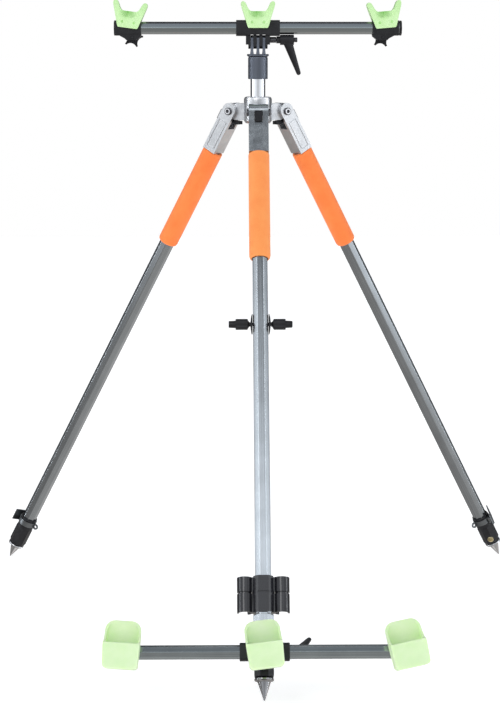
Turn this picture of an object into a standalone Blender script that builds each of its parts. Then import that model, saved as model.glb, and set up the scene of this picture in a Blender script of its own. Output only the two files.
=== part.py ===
"""Surf rod tripod: three telescopic legs on a cast hub, a tilting upper bar with
three V rests and a lower bar with three butt cups on the front leg.

Metres, +Z up. The object stands on its three spikes at z = 0 and the origin is
under the middle of its bounding box.
"""

import math

import bmesh
import bpy
from mathutils import Matrix, Vector

# ---------------------------------------------------------------------------
# Driving dimensions (metres, degrees)
# ---------------------------------------------------------------------------
SPLAY = 30.0  # leg angle from the vertical, at the pawl stop
LEG_LEN = 1.0508  # leg pivot to spike tip, lower tube pushed in
TIP_R = 0.0012  # blunt end of the spike
PIVOT_R = 0.052  # leg pivots from the hub's axis
PIVOT_Z = LEG_LEN * math.cos(math.radians(SPLAY)) + TIP_R * math.sin(math.radians(SPLAY))
AZIMUTH = {"front": -90.0, "left": 150.0, "right": 30.0}
SHIFT = (0.0, 0.1807)  # the hub's axis from the origin

GAP = 0.0003  # between touching pieces
FINE = 0.5  # share of the full number of segments round curves
SMALL_EDGE = 0.0013  # bevels narrower than this are left sharp

TUBE_AF = 0.0260  # leg tube, across the flats
TUBE_BORE = 0.0236
INNER_AF = 0.0203  # lower tube
INNER_BORE = 0.0185
INNER_TOP = -0.560
GRIP_R = 0.0186
GRIP_TOP = -0.0838
GRIP_END = -0.2860

BODY_TOP = -0.949  # clamp body at the lower end of the leg tube
BODY_MID = -0.971
BODY_END = -1.0148
BAND_Z = -0.959
BAND_HALF = 0.0055

LUG_R = 0.0090  # hub lug round the leg pivot
LUG_HALF = 0.0104
SLOT_HALF = 0.0108
YOKE_HALF = 0.0175
BOLT_R = 0.0040

PAWL_Y = -0.0118  # pawl pin in the leg's frame
PAWL_Z = -0.0065

HINGE_Z = 1.0390  # head hinge axis above the ground
BAR_UP = 0.0210  # hinge axis to the middle of the bar
BAR_AF = 0.0210
BAR_BORE = 0.0170
UPPER_HALF = 0.2590
LOWER_HALF = 0.2500
SLEEVE_HALF = 0.0394
SLEEVE_T = 0.0142
SLIDER_T = 0.0135
TEE_END = 0.0160
FINGER_X = 0.0108
FINGER_T = 0.0048
REST_X = {"left": -0.2340, "centre": 0.0, "right": 0.2300}
REST_PIN_Z = 0.0040  # rest's trunnions above the middle of the bar
REST_TILT = {"left": 7.5, "centre": 0.0, "right": -5.0}
KNOB_Z = -0.0165  # star knob's axis below the middle of the bar
KNOB_X = {"left": 0.0078, "right": 0.0050}  # and inboard of the slider's middle
KNOB_TURN = {"left": -67.0, "right": -60.0}

CARRIAGE_TOP = -0.9135
CARRIAGE_END = -0.9470
BUTT_N = 0.0330  # lower hinge axis, out from the leg's axis
BUTT_S = 0.9805  # and down the leg from its pivot
CUP_TILT = 21.0  # cups lean back from the vertical
CUP_X = 0.2240
CUP_TURN = {"left": 4.0, "centre": -7.0, "right": -12.0}
BUTT_LEVER_TURN = 23.0
STUD_Z = -0.4076  # accessory knobs on the front leg

# ---------------------------------------------------------------------------
# Scene
# ---------------------------------------------------------------------------
for old in list(bpy.data.objects):
    bpy.data.objects.remove(old, do_unlink=True)

PARTS = bpy.data.collections.new("surf_rod_tripod")
bpy.context.scene.collection.children.link(PARTS)


def material(name, color, roughness, metallic):
    mat = bpy.data.materials.new(name)
    mat.use_nodes = True
    shader = mat.node_tree.nodes["Principled BSDF"]
    shader.inputs["Base Color"].default_value = (*color, 1.0)
    shader.inputs["Roughness"].default_value = roughness
    shader.inputs["Metallic"].default_value = metallic
    mat.diffuse_color = (*color, 1.0)
    return mat


CAST = ("cast alloy", (0.62, 0.63, 0.66), 0.35, 0.9)
TUBE = ("gunmetal tube", (0.19, 0.22, 0.25), 0.35, 0.8)
PLASTIC = ("black plastic", (0.025, 0.025, 0.028), 0.5, 0.0)
STEEL = ("steel", (0.55, 0.55, 0.57), 0.25, 1.0)
CHROME = ("chromed steel", (0.75, 0.76, 0.80), 0.1, 1.0)
BAND = ("plated band", (0.22, 0.23, 0.25), 0.4, 0.8)
FOAM = ("orange foam", (0.90, 0.22, 0.05), 0.9, 0.0)
GREEN = ("pale green plastic", (0.56, 0.85, 0.40), 0.45, 0.0)
DARK = ("dark collar", (0.10, 0.11, 0.12), 0.4, 0.5)


# ---------------------------------------------------------------------------
# Modelling helpers
# ---------------------------------------------------------------------------
def seg(count, least=8):
    return max(least, 2 * round(count * FINE / 2))


def from_bmesh(bm):
    mesh = bpy.data.meshes.new("piece")
    bmesh.ops.recalc_face_normals(bm, faces=bm.faces)
    bm.to_mesh(mesh)
    bm.free()
    ob = bpy.data.objects.new("piece", mesh)
    PARTS.objects.link(ob)
    return ob


def applied(ob):
    """The object with its modifiers applied, or a curve turned into a mesh."""
    graph = bpy.context.evaluated_depsgraph_get()
    mesh = bpy.data.meshes.new_from_object(ob.evaluated_get(graph))
    bm = bmesh.new()
    bm.from_mesh(mesh)
    bmesh.ops.remove_doubles(bm, verts=bm.verts, dist=1e-6)
    bmesh.ops.recalc_face_normals(bm, faces=bm.faces)
    bm.to_mesh(mesh)
    bm.free()
    if ob.type == "MESH":
        ob.modifiers.clear()
        ob.data = mesh
        return ob
    new = bpy.data.objects.new("piece", mesh)
    new.matrix_world = ob.matrix_world
    PARTS.objects.link(new)
    bpy.data.objects.remove(ob, do_unlink=True)
    return new


def moved(ob, matrix):
    ob.data.transform(matrix)
    return ob


def boolean(ob, tool, operation="DIFFERENCE"):
    mod = ob.modifiers.new("boolean", "BOOLEAN")
    mod.operation = operation
    mod.solver = "EXACT"
    mod.object = tool
    applied(ob)
    bpy.data.objects.remove(tool, do_unlink=True)
    return ob


def joined(first, *rest):
    for other in rest:
        boolean(first, other, "UNION")
    return first


def cut(ob, *tools):
    for tool in tools:
        boolean(ob, tool, "DIFFERENCE")
    return ob


def box(x, y, z, bevel=0.0, segments=1, along=None):
    """A box from (x0, x1), (y0, y1), (z0, z1); bevel rounds all its edges, or those along one axis."""
    bm = bmesh.new()
    bmesh.ops.create_cube(bm, size=1.0)
    bmesh.ops.scale(bm, vec=(x[1] - x[0], y[1] - y[0], z[1] - z[0]), verts=bm.verts)
    bmesh.ops.translate(
        bm, vec=((x[0] + x[1]) / 2, (y[0] + y[1]) / 2, (z[0] + z[1]) / 2), verts=bm.verts
    )
    if bevel:
        edges = [
            e
            for e in bm.edges
            if along is None or abs((e.verts[0].co - e.verts[1].co).normalized()["xyz".index(along)]) > 0.9
        ]
        bmesh.ops.bevel(
            bm, geom=edges, offset=bevel, offset_type="OFFSET", segments=segments, profile=0.5, affect="EDGES"
        )
    return from_bmesh(bm)


def rod(start, end, r0, r1=None, segments=24):
    """A cylinder, or a cone, between two points."""
    if segments > 6:
        segments = seg(segments)
    start, end = Vector(start), Vector(end)
    axis = end - start
    bm = bmesh.new()
    bmesh.ops.create_cone(
        bm,
        cap_ends=True,
        segments=segments,
        radius1=r0,
        radius2=r0 if r1 is None else r1,
        depth=axis.length,
    )
    turn = axis.to_track_quat("Z", "Y").to_matrix().to_4x4()
    bmesh.ops.transform(bm, matrix=Matrix.Translation((start + end) / 2) @ turn, verts=bm.verts)
    return from_bmesh(bm)


def ball(centre, r, segments=16, rings=8):
    bm = bmesh.new()
    bmesh.ops.create_uvsphere(bm, u_segments=seg(segments), v_segments=seg(rings, 4), radius=r)
    bmesh.ops.translate(bm, vec=centre, verts=bm.verts)
    return from_bmesh(bm)


def turned(profile, segments=32, axis="Z"):
    """A turned shape: (radius, height) points from the top of the axis down the outside to its foot."""
    mesh = bpy.data.meshes.new("profile")
    points = [(r, 0.0, h) for r, h in profile]
    mesh.from_pydata(points, [(i, i + 1) for i in range(len(points) - 1)], [])
    ob = bpy.data.objects.new("piece", mesh)
    PARTS.objects.link(ob)
    screw = ob.modifiers.new("screw", "SCREW")
    screw.steps = seg(segments)
    screw.render_steps = seg(segments)
    screw.use_merge_vertices = True
    screw.merge_threshold = 1e-6
    applied(ob)
    if axis == "X":
        moved(ob, Matrix.Rotation(math.radians(90), 4, "Y"))
    elif axis == "Y":
        moved(ob, Matrix.Rotation(math.radians(-90), 4, "X"))
    return ob


def flat(loops, low, high, plane="XY"):
    """A flat outline (and its holes) of the XY, YZ or XZ plane, from low to high across it."""
    curve = bpy.data.curves.new("outline", "CURVE")
    curve.dimensions = "2D"
    curve.fill_mode = "BOTH"
    curve.extrude = (high - low) / 2
    for loop in loops:
        spline = curve.splines.new("POLY")
        spline.points.add(len(loop) - 1)
        for point, (u, v) in zip(spline.points, loop):
            point.co = (u, v, 0.0, 1.0)
        spline.use_cyclic_u = True
    ob = bpy.data.objects.new("piece", curve)
    PARTS.objects.link(ob)
    ob = applied(ob)
    middle = (low + high) / 2
    if plane == "XY":
        matrix = Matrix.Translation((0, 0, middle))
    elif plane == "YZ":
        matrix = Matrix(((0, 0, 1, middle), (1, 0, 0, 0), (0, 1, 0, 0), (0, 0, 0, 1)))
    else:
        matrix = Matrix(((1, 0, 0, 0), (0, 0, -1, middle), (0, 1, 0, 0), (0, 0, 0, 1)))
    return moved(ob, matrix)


def bevelled(ob, width, segments=1, angle=40.0):
    if width < SMALL_EDGE:
        return ob
    mod = ob.modifiers.new("bevel", "BEVEL")
    mod.width = width
    mod.segments = segments
    mod.limit_method = "ANGLE"
    mod.angle_limit = math.radians(angle)
    return applied(ob)


def octagon(across, turn=22.5):
    r = across / 2 / math.cos(math.radians(22.5))
    return [
        (r * math.cos(math.radians(turn + 45 * k)), r * math.sin(math.radians(turn + 45 * k)))
        for k in range(8)
    ]


def circle(centre, r, segments=24):
    segments = seg(segments)
    return [
        (
            centre[0] + r * math.cos(2 * math.pi * k / segments),
            centre[1] + r * math.sin(2 * math.pi * k / segments),
        )
        for k in range(segments)
    ]


def arc(centre, r, start, end, steps=8):
    steps = max(3, round(steps * FINE))
    return [
        (
            centre[0] + r * math.cos(math.radians(start + (end - start) * k / steps)),
            centre[1] + r * math.sin(math.radians(start + (end - start) * k / steps)),
        )
        for k in range(steps + 1)
    ]


def rounded(points, r, steps=3):
    """An outline with its corners rounded to radius r (one value, or one for each corner)."""
    steps = max(1, round(steps * FINE))
    out = []
    count = len(points)
    for i, point in enumerate(points):
        radius = r[i] if isinstance(r, (list, tuple)) else r
        p = Vector(point)
        a = (Vector(points[i - 1]) - p).normalized()
        b = (Vector(points[(i + 1) % count]) - p).normalized()
        if radius <= 0 or abs(a.dot(b)) > 0.999:
            out.append(tuple(p))
            continue
        half = a.angle(b) / 2
        reach = radius / math.tan(half)
        centre = p + (a + b).normalized() * (radius / math.sin(half))
        first, last = p + a * reach, p + b * reach
        a0 = math.atan2(first.y - centre.y, first.x - centre.x)
        a1 = math.atan2(last.y - centre.y, last.x - centre.x)
        while a1 - a0 > math.pi:
            a1 -= 2 * math.pi
        while a1 - a0 < -math.pi:
            a1 += 2 * math.pi
        for k in range(steps + 1):
            t = a0 + (a1 - a0) * k / steps
            out.append((centre.x + radius * math.cos(t), centre.y + radius * math.sin(t)))
    return out


def empty(name, parent=None, location=(0, 0, 0), rotation=(0, 0, 0)):
    ob = bpy.data.objects.new(name, None)
    ob.empty_display_size = 0.03
    ob.parent = parent
    ob.location = location
    ob.rotation_euler = [math.radians(a) for a in rotation]
    PARTS.objects.link(ob)
    return ob


MATERIALS = {}


def named(ob, name, parent, look, smooth=35.0):
    """Gives a finished piece its name, frame and material."""
    mesh = ob.data
    mesh.name = name
    if look[0] not in MATERIALS:
        MATERIALS[look[0]] = material(*look)
    mesh.materials.clear()
    mesh.materials.append(MATERIALS[look[0]])
    mesh.shade_smooth()
    mesh.set_sharp_from_angle(angle=math.radians(smooth))
    ob.name = name
    ob.parent = parent
    return ob


def copy_of(ob, name, parent):
    new = bpy.data.objects.new(name, ob.data)
    new.parent = parent
    PARTS.objects.link(new)
    return new


def turn_z(angle):
    return Matrix.Rotation(math.radians(angle), 4, "Z")


# ---------------------------------------------------------------------------
# Frames
# ---------------------------------------------------------------------------
ROOT = empty("tripod", location=(SHIFT[0], SHIFT[1], 0.0))
LEG = {}
for side, azimuth in AZIMUTH.items():
    a = math.radians(azimuth)
    LEG[side] = empty(
        "leg_" + side,
        ROOT,
        (PIVOT_R * math.cos(a), PIVOT_R * math.sin(a), PIVOT_Z),
        (-SPLAY, 0.0, azimuth + 90.0),
    )
HEAD = empty("head_hinge", ROOT, (0, 0, HINGE_Z))
BUTT = empty(
    "butt_hinge", LEG["front"], (0, -BUTT_N, -BUTT_S), (90.0 - CUP_TILT + SPLAY, 0.0, 0.0)
)


# ---------------------------------------------------------------------------
# Hub and post
# ---------------------------------------------------------------------------
def hub_casting():
    top, low = PIVOT_Z + 0.0270, PIVOT_Z - 0.0210
    ob = turned(
        [
            (0, top),
            (0.0205, top),
            (0.0236, top - 0.0012),
            (0.0253, top - 0.0045),
            (0.0253, low + 0.0045),
            (0.0220, low),
            (0, low),
        ],
        36,
    )
    for azimuth in AZIMUTH.values():
        outline = arc((-PIVOT_R, PIVOT_Z), LUG_R, 270, 90, 10)
        outline += [
            (-PIVOT_R + 0.0140, PIVOT_Z + 0.0145),
            (-0.0180, PIVOT_Z + 0.0145),
            (-0.0180, PIVOT_Z - 0.0157),
            (-PIVOT_R + 0.0090, PIVOT_Z - 0.0157),
        ]
        lug = flat([outline], -LUG_HALF, LUG_HALF, "YZ")
        boolean(ob, moved(lug, turn_z(azimuth + 90)), "UNION")
    for azimuth in AZIMUTH.values():
        hole = rod(
            (-0.02, -PIVOT_R, PIVOT_Z), (0.02, -PIVOT_R, PIVOT_Z), BOLT_R + GAP, segments=20
        )
        cut(ob, moved(hole, turn_z(azimuth + 90)))
    return cut(ob, rod((0, 0, PIVOT_Z - 0.0125), (0, 0, top + 0.01), 0.0135 + GAP, segments=40))


named(hub_casting(), "hub_casting", ROOT, CAST)
named(
    bevelled(rod((0, 0, PIVOT_Z - 0.0122), (0, 0, 0.9985), 0.0135, segments=40), 0.0008),
    "centre_post",
    ROOT,
    CHROME,
)


# ---------------------------------------------------------------------------
# Head: swivelling collar, tee, hinge bolt, clamp lever
# ---------------------------------------------------------------------------
def finger(outline, x):
    return flat([outline], x - FINGER_T / 2, x + FINGER_T / 2, "YZ")


def fork_root(x):
    """Web at the root of a collar finger, which widens it downwards."""
    half = FINGER_T / 2
    top = half - 0.0004
    low = half + 0.0008
    web = [(x - top, -0.0150), (x + top, -0.0150), (x + low, -0.0262), (x - low, -0.0262)]
    return flat([web], -0.0095, 0.0095, "XZ")


def head_collar():
    """In the head hinge's frame."""
    z = -HINGE_Z
    ob = turned(
        [
            (0, z + 1.0137),
            (0.0190, z + 1.0137),
            (0.0197, z + 1.0128),
            (0.0197, z + 1.0106),
            (0.0168, z + 1.0086),
            (0.0178, z + 1.0066),
            (0.0178, z + 0.9698),
            (0.0170, z + 0.9690),
            (0, z + 0.9690),
        ],
        36,
    )
    cut(ob, rod((0, 0, z + 0.9600), (0, 0, z + 0.9990), 0.0135 + GAP, segments=40))
    outline = arc((0, 0), 0.0085, 0, 180, 10) + [
        (-0.0085, -0.0120),
        (-0.0120, -0.0262),
        (0.0120, -0.0262),
        (0.0085, -0.0120),
    ]
    for x in (-FINGER_X, 0.0, FINGER_X):
        boolean(ob, finger(outline, x), "UNION")
        boolean(ob, fork_root(x), "UNION")
    return cut(ob, rod((-0.03, 0, 0), (0.03, 0, 0), 0.0033, segments=16))


def tee():
    """In a hinge's frame: its axis along X, the bar's middle at +Z."""
    t = SLEEVE_T
    outer = rounded([(-t, -t), (t, -t), (t, t), (-t, t)], 0.0050, 2)
    sleeve = moved(flat([outer], -SLEEVE_HALF, SLEEVE_HALF, "YZ"), Matrix.Translation((0, 0, BAR_UP)))
    sleeve = bevelled(sleeve, 0.0010)
    block = arc((0, 0), TEE_END, 227, 313, 8) + [(0.0101, 0.0100), (-0.0101, 0.0100)]
    upper = flat([block], -0.0217, 0.0217, "YZ")
    trim = 0.0085
    cut(upper, box((0.0173, 0.03), (-0.02, 0.02), (-0.02, -trim)))
    cut(upper, box((-0.03, -0.0173), (-0.02, 0.02), (-0.02, -trim)))
    ob = joined(sleeve, upper)
    for x in (-FINGER_X, 0.0, FINGER_X):
        half = FINGER_T / 2 + GAP
        cut(ob, box((x - half, x + half), (-0.03, 0.03), (-0.03, 0.0093)))
    cut(ob, rod((-0.03, 0, 0), (0.03, 0, 0), 0.0033, segments=16))
    bore = moved(
        flat([octagon(BAR_AF + 2 * GAP, 0)], -0.05, 0.05, "YZ"), Matrix.Translation((0, 0, BAR_UP))
    )
    return cut(ob, bore)


def trunnions(half, r=0.0030, out=0.0024):
    pins = []
    for side in (-1, 1):
        pins.append(
            rod((0, side * (half - 0.0015), REST_PIN_Z), (0, side * (half + out), REST_PIN_Z), r, segments=16)
        )
    return pins


def hinge_bolt():
    """Through the tee along X: hex head, shank, spacer, end nut. Profile runs from +X down to -X."""
    return turned(
        [
            (0, 0.0712),
            (0.0036, 0.0712),
            (0.0042, 0.0706),
            (0.0042, 0.0656),
            (0.0030, 0.0654),
            (0.0030, 0.0330),
            (0.0053, 0.0328),
            (0.0053, 0.0221),
            (0.0030, 0.0219),
            (0.0030, -0.0215),
            (0, -0.0215),
        ],
        24,
        "X",
    )


def clamp_handle():
    """Hub on the bolt and an arm that hangs towards -Z and leans out to +X."""
    hub = turned(
        [
            (0, 0.0650),
            (0.0086, 0.0650),
            (0.0092, 0.0644),
            (0.0092, 0.0402),
            (0.0063, 0.0398),
            (0.0063, 0.0334),
            (0, 0.0334),
        ],
        28,
        "X",
    )
    start, end = Vector((0.0533, 0, -0.0030)), Vector((0.0736, 0, -0.0590))
    arm = rod(start, end, 0.0084, 0.0040, 20)
    arm = joined(arm, ball(end, 0.0040))
    moved(arm, Matrix.Diagonal((1, 0.86, 1, 1)))
    ob = joined(hub, arm)
    return cut(ob, rod((0.02, 0, 0), (0.09, 0, 0), 0.0033, segments=16))


named(head_collar(), "head_collar", HEAD, DARK)
head_tee = tee()
for pin in trunnions(SLEEVE_T):
    moved(pin, Matrix.Translation((0, 0, BAR_UP)))
    boolean(head_tee, pin, "UNION")
named(head_tee, "head_tee", HEAD, PLASTIC)
bolt = named(hinge_bolt(), "head_hinge_bolt", HEAD, STEEL)
handle = named(clamp_handle(), "head_clamp_lever", HEAD, PLASTIC)

# ---------------------------------------------------------------------------
# Upper bar, sliders, star knobs and V rests
# ---------------------------------------------------------------------------
BAR = empty("upper_bar_frame", HEAD, (0, 0, BAR_UP))


def bar(half):
    return flat([octagon(BAR_AF, 0), octagon(BAR_BORE, 0)], -half, half, "YZ")


def slider(side):
    """A split sleeve on the bar with two ears under it, and a trunnion on each side."""
    inboard = 1 if side == "left" else -1
    t = SLIDER_T
    outer = rounded([(-t, -t), (t, -t), (t, t), (-t, t)], 0.0040, 2)
    ob = bevelled(flat([outer], -0.0237, 0.0237, "YZ"), 0.0008)
    ears = [
        (inboard * x, z)
        for x, z in (
            (-0.0165, -0.0110),
            (-0.0145, -0.0140),
            (-0.0060, -0.0185),
            (-0.0030, -0.0215),
            (0.0145, -0.0215),
            (0.0180, -0.0190),
            (0.0230, -0.0150),
            (0.0230, -0.0110),
        )
    ]
    ears = flat([ears], -t + 0.0008, t - 0.0008, "XZ")
    ob = joined(ob, ears, *trunnions(t))
    cut(ob, flat([octagon(BAR_AF + 2 * GAP, 0)], -0.05, 0.05, "YZ"))
    cut(ob, box((-0.05, 0.05), (-0.0010, 0.0010), (-0.05, 0.0)))
    x = inboard * KNOB_X[side]
    return cut(ob, rod((x, -0.02, KNOB_Z), (x, 0.02, KNOB_Z), 0.0028, segments=16))


def star(lobes, big, small, share=0.87, steps=8):
    """Outline of a hand knob: concave arcs between the lobes take that share of the turn."""
    steps = max(4, round(steps * FINE))
    pitch = math.pi / lobes
    c = math.cos(share * pitch)
    r = (small**2 + big**2 - 2 * big * small * c) / (2 * (big * c - small))
    d = r + small
    out = []
    for k in range(lobes):
        middle = (2 * k + 1) * pitch
        for i in range(-steps, steps + 1):
            angle = share * pitch * i / steps
            reach = d * math.cos(angle) - math.sqrt(max(0.0, r * r - (d * math.sin(angle)) ** 2))
            out.append((reach * math.cos(middle + angle), reach * math.sin(middle + angle)))
    return out


def star_knob():
    """Its axis is Y; the star is behind the slider and the screw runs forwards through the ears."""
    head = bevelled(flat([star(5, 0.0204, 0.0108)], 0.0196, 0.0280, "XZ"), 0.0012, 1, 50)
    neck = rod((0, SLIDER_T + GAP, 0), (0, 0.0200, 0), 0.0072, 0.0085, 20)
    screw = rod((0, -SLIDER_T, 0), (0, SLIDER_T + 0.0020, 0), 0.0025, segments=16)
    return joined(head, neck, screw)


def v_rest():
    """A saddle over the bar: horns up, a skirt down each side. Its frame is the trunnions' axis."""
    dz = -REST_PIN_Z
    half = [
        (0.0, 0.0298),
        (0.0065, 0.0298),
        (0.0125, 0.0300),
        (0.0158, 0.0320),
        (0.0183, 0.0358),
        (0.0204, 0.0408),
        (0.0225, 0.0450),
        (0.0252, 0.0472),
        (0.0282, 0.0475),
        (0.0303, 0.0455),
        (0.0308, 0.0418),
        (0.0292, 0.0360),
        (0.0266, 0.0280),
        (0.0226, 0.0150),
        (0.0190, 0.0030),
        (0.0172, 0.0),
    ]
    outline = [(x, z + dz) for x, z in half] + [(-x, z + dz) for x, z in reversed(half[1:])]
    ob = flat([outline], -0.0190, 0.0190, "XZ")
    for vert in ob.data.vertices:
        z = vert.co.z - dz
        if z > 0.030:
            vert.co.y *= 1.0 - 0.45 * (z - 0.030) / 0.018
        elif vert.co.x == 0.0 or z > 0.027:
            vert.co.y *= 0.98
    channel = 0.0142 + GAP
    roof = 0.0186
    cut(ob, box((-0.05, 0.05), (-channel, channel), (-0.02, roof + dz)))
    return cut(ob, rod((0, -0.0170, 0), (0, 0.0170, 0), 0.0033, segments=16))


named(bar(UPPER_HALF), "upper_bar", BAR, TUBE)
first_knob = first_rest = None
for side, x in REST_X.items():
    rest_frame = empty(
        "rest_pins_" + side, BAR, (x, 0, REST_PIN_Z), (0, REST_TILT[side], 0)
    )
    if first_rest is None:
        first_rest = named(v_rest(), "rest_left", rest_frame, GREEN)
    else:
        copy_of(first_rest, "rest_" + side, rest_frame)
    if side == "centre":
        continue
    slide_frame = empty("slider_frame_" + side, BAR, (x, 0, 0))
    inboard = 1 if side == "left" else -1
    knob_frame = empty(
        "knob_frame_" + side, slide_frame, (inboard * KNOB_X[side], 0, KNOB_Z), (0, -KNOB_TURN[side], 0)
    )
    named(slider(side), "slider_" + side, slide_frame, PLASTIC)
    if first_knob is None:
        first_knob = named(star_knob(), "star_knob_left", knob_frame, PLASTIC)
    else:
        copy_of(first_knob, "star_knob_" + side, knob_frame)


# ---------------------------------------------------------------------------
# Legs, each in its pivot's frame: +Z up the leg, -Y outwards, X along the pivot
# ---------------------------------------------------------------------------
def yoke():
    outline = arc((0, 0.0020), 0.0132, 200, 0, 14)
    outline = [(y - 0.0005, z) for y, z in outline]
    outline += [(0.0127, -0.0835), (-0.0140, -0.0835), (-0.0140, -0.0060)]
    ob = bevelled(flat([outline], -YOKE_HALF, YOKE_HALF, "YZ"), 0.0015, 1, 50)
    ob = joined(ob, rod((0, 0, -0.1180), (0, 0, -0.0820), 0.0114, segments=24))
    cut(ob, box((-SLOT_HALF, SLOT_HALF), (-0.0096, 0.03), (-0.0310, 0.03)))
    cut(ob, box((-0.0074, 0.0074), (-0.03, 0.0), (-0.0250, -0.0030)))
    scoop = rod((0, -0.0190, 0.0150), (0, -0.0060, 0.0150), 0.0110, 0.0080, 20)
    cut(ob, scoop)
    for side in (-1, 1):
        panel = box(
            (side * (YOKE_HALF - 0.0012) - (0.01 if side < 0 else 0), side * (YOKE_HALF - 0.0012) + (0.01 if side > 0 else 0)),
            (-0.0088, 0.0080),
            (-0.0765, -0.0195),
            0.0020,
            2,
            "x",
        )
        cut(ob, panel)
    cut(ob, box((-0.0070, 0.0070), (-0.03, -0.0130), (-0.0400, -0.0280), 0.0010, 1, "y"))
    cut(ob, rod((-0.03, 0, 0), (0.03, 0, 0), BOLT_R + GAP, segments=20))
    return cut(ob, rod((-0.0125, PAWL_Y, PAWL_Z), (0.0125, PAWL_Y, PAWL_Z), 0.0016, segments=12))


def pivot_bolt():
    half = YOKE_HALF + GAP
    ob = turned(
        [
            (0, half + 0.0032),
            (0.0060, half + 0.0032),
            (0.0068, half + 0.0024),
            (0.0068, half),
            (BOLT_R, half - 0.0002),
            (BOLT_R, -half + 0.0002),
            (0.0068, -half),
            (0.0068, -half - 0.0024),
            (0.0060, -half - 0.0032),
            (0, -half - 0.0032),
        ],
        28,
        "X",
    )
    for side in (-1, 1):
        socket = rod((side * half, 0, 0), (side * (half + 0.01), 0, 0), 0.0034, segments=6)
        cut(ob, socket)
    return ob


def angle_pawl():
    """Bent lever in the yoke's window: tab outside, toe under the hub's lug. Outline in (out, down)."""
    c, s = math.cos(math.radians(SPLAY)), math.sin(math.radians(SPLAY))

    def world(r, z):  # offsets from the pivot at rest, outward and up, to (out, down)
        return (r * c + z * s, r * s - z * c)

    n0, s0 = -PAWL_Y, -PAWL_Z
    eye = 0.0023
    toe = [
        world(-0.0105, -0.0176),
        world(-0.0162, -0.0176),
        world(-0.0162, -0.0240),
        world(-0.0085, -0.0240),
    ]
    outline = [
        (0.0202, 0.0258),
        (0.0202, 0.0085),
        (0.0180, 0.0052),
        (0.0150, 0.0042),
        (n0, s0 - eye),
        (n0 - 0.0016, s0 - 0.0017),
        (n0 - eye, s0),
        (0.0094, 0.0100),
        (0.0080, 0.0135),
        (-0.0120, 0.0135),
        toe[0],
        toe[1],
        toe[2],
        toe[3],
        (-0.0100, 0.0170),
        (0.0095, 0.0170),
        (0.0118, 0.0145),
        (0.0128, 0.0090),
        (0.0148, 0.0066),
        (0.0172, 0.0076),
        (0.0182, 0.0098),
        (0.0182, 0.0258),
    ]
    ob = flat([[(-n, -d) for n, d in outline]], -0.0068, 0.0068, "YZ")
    return joined(ob, rod((-0.0122, PAWL_Y, PAWL_Z), (0.0122, PAWL_Y, PAWL_Z), 0.0013, segments=12))


def grip():
    ob = turned(
        [
            (0.0144, GRIP_TOP),
            (0.0174, GRIP_TOP),
            (GRIP_R, GRIP_TOP - 0.0014),
            (GRIP_R, GRIP_END + 0.0060),
            (0.0178, GRIP_END + 0.0024),
            (0.0160, GRIP_END + 0.0004),
            (0.0144, GRIP_END),
            (0.0144, GRIP_TOP),
        ],
        36,
    )
    return ob


def octagon_tube(across, bore, top, end):
    return flat([octagon(across), octagon(bore)], end, top, "XY")


def clamp_body():
    ob = rod((0, 0, BODY_MID - 0.002), (0, 0, BODY_TOP), 0.0162, segments=32)
    lower = flat([octagon(0.0314)], BODY_END, BODY_MID, "XY")
    lower = bevelled(lower, 0.0045, 2, 60)
    ob = joined(lower, ob)
    cut(ob, flat([octagon(TUBE_AF + 2 * GAP)], -0.9850, -0.94, "XY"))
    cut(ob, flat([octagon(INNER_AF + 2 * GAP)], -1.05, -0.98, "XY"))
    for angle in (0, 45, 90, 135):
        slit = box((-0.03, 0.03), (-0.0007, 0.0007), (BODY_TOP - 0.0085, -0.93))
        cut(ob, moved(slit, turn_z(angle + 22.5)))
    return ob


def clamp_band():
    low, high = BAND_Z - BAND_HALF, BAND_Z + BAND_HALF
    ob = flat([circle((0, 0), 0.0175, 40), circle((0, 0), 0.0165, 40)], low, high, "XY")
    eye = flat(
        [
            [(0.0172, BAND_Z - 0.0054), (0.0172, BAND_Z + 0.0054)]
            + arc((0.0212, BAND_Z), 0.0060, 90, -90, 10)
        ],
        -0.0010,
        0.0010,
        "YZ",
    )
    ob = joined(ob, eye)
    cut(ob, rod((-0.01, 0.0214, BAND_Z), (0.01, 0.0214, BAND_Z), 0.0026, segments=14))
    for z0, z1 in ((low, low + 0.0020), (high - 0.0020, high)):
        ear = flat([[(-0.0026, -0.0172), (0.0026, -0.0172)] + arc((0, -0.0208), 0.0026, 0, -180, 8)], z0, z1, "XY")
        moved(ear, turn_z(-80))
        boolean(ob, ear, "UNION")
    pin = rod((0, -0.0208, low - 0.001), (0, -0.0208, high + 0.001), 0.0016, segments=12)
    return cut(ob, moved(pin, turn_z(-80)))


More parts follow.
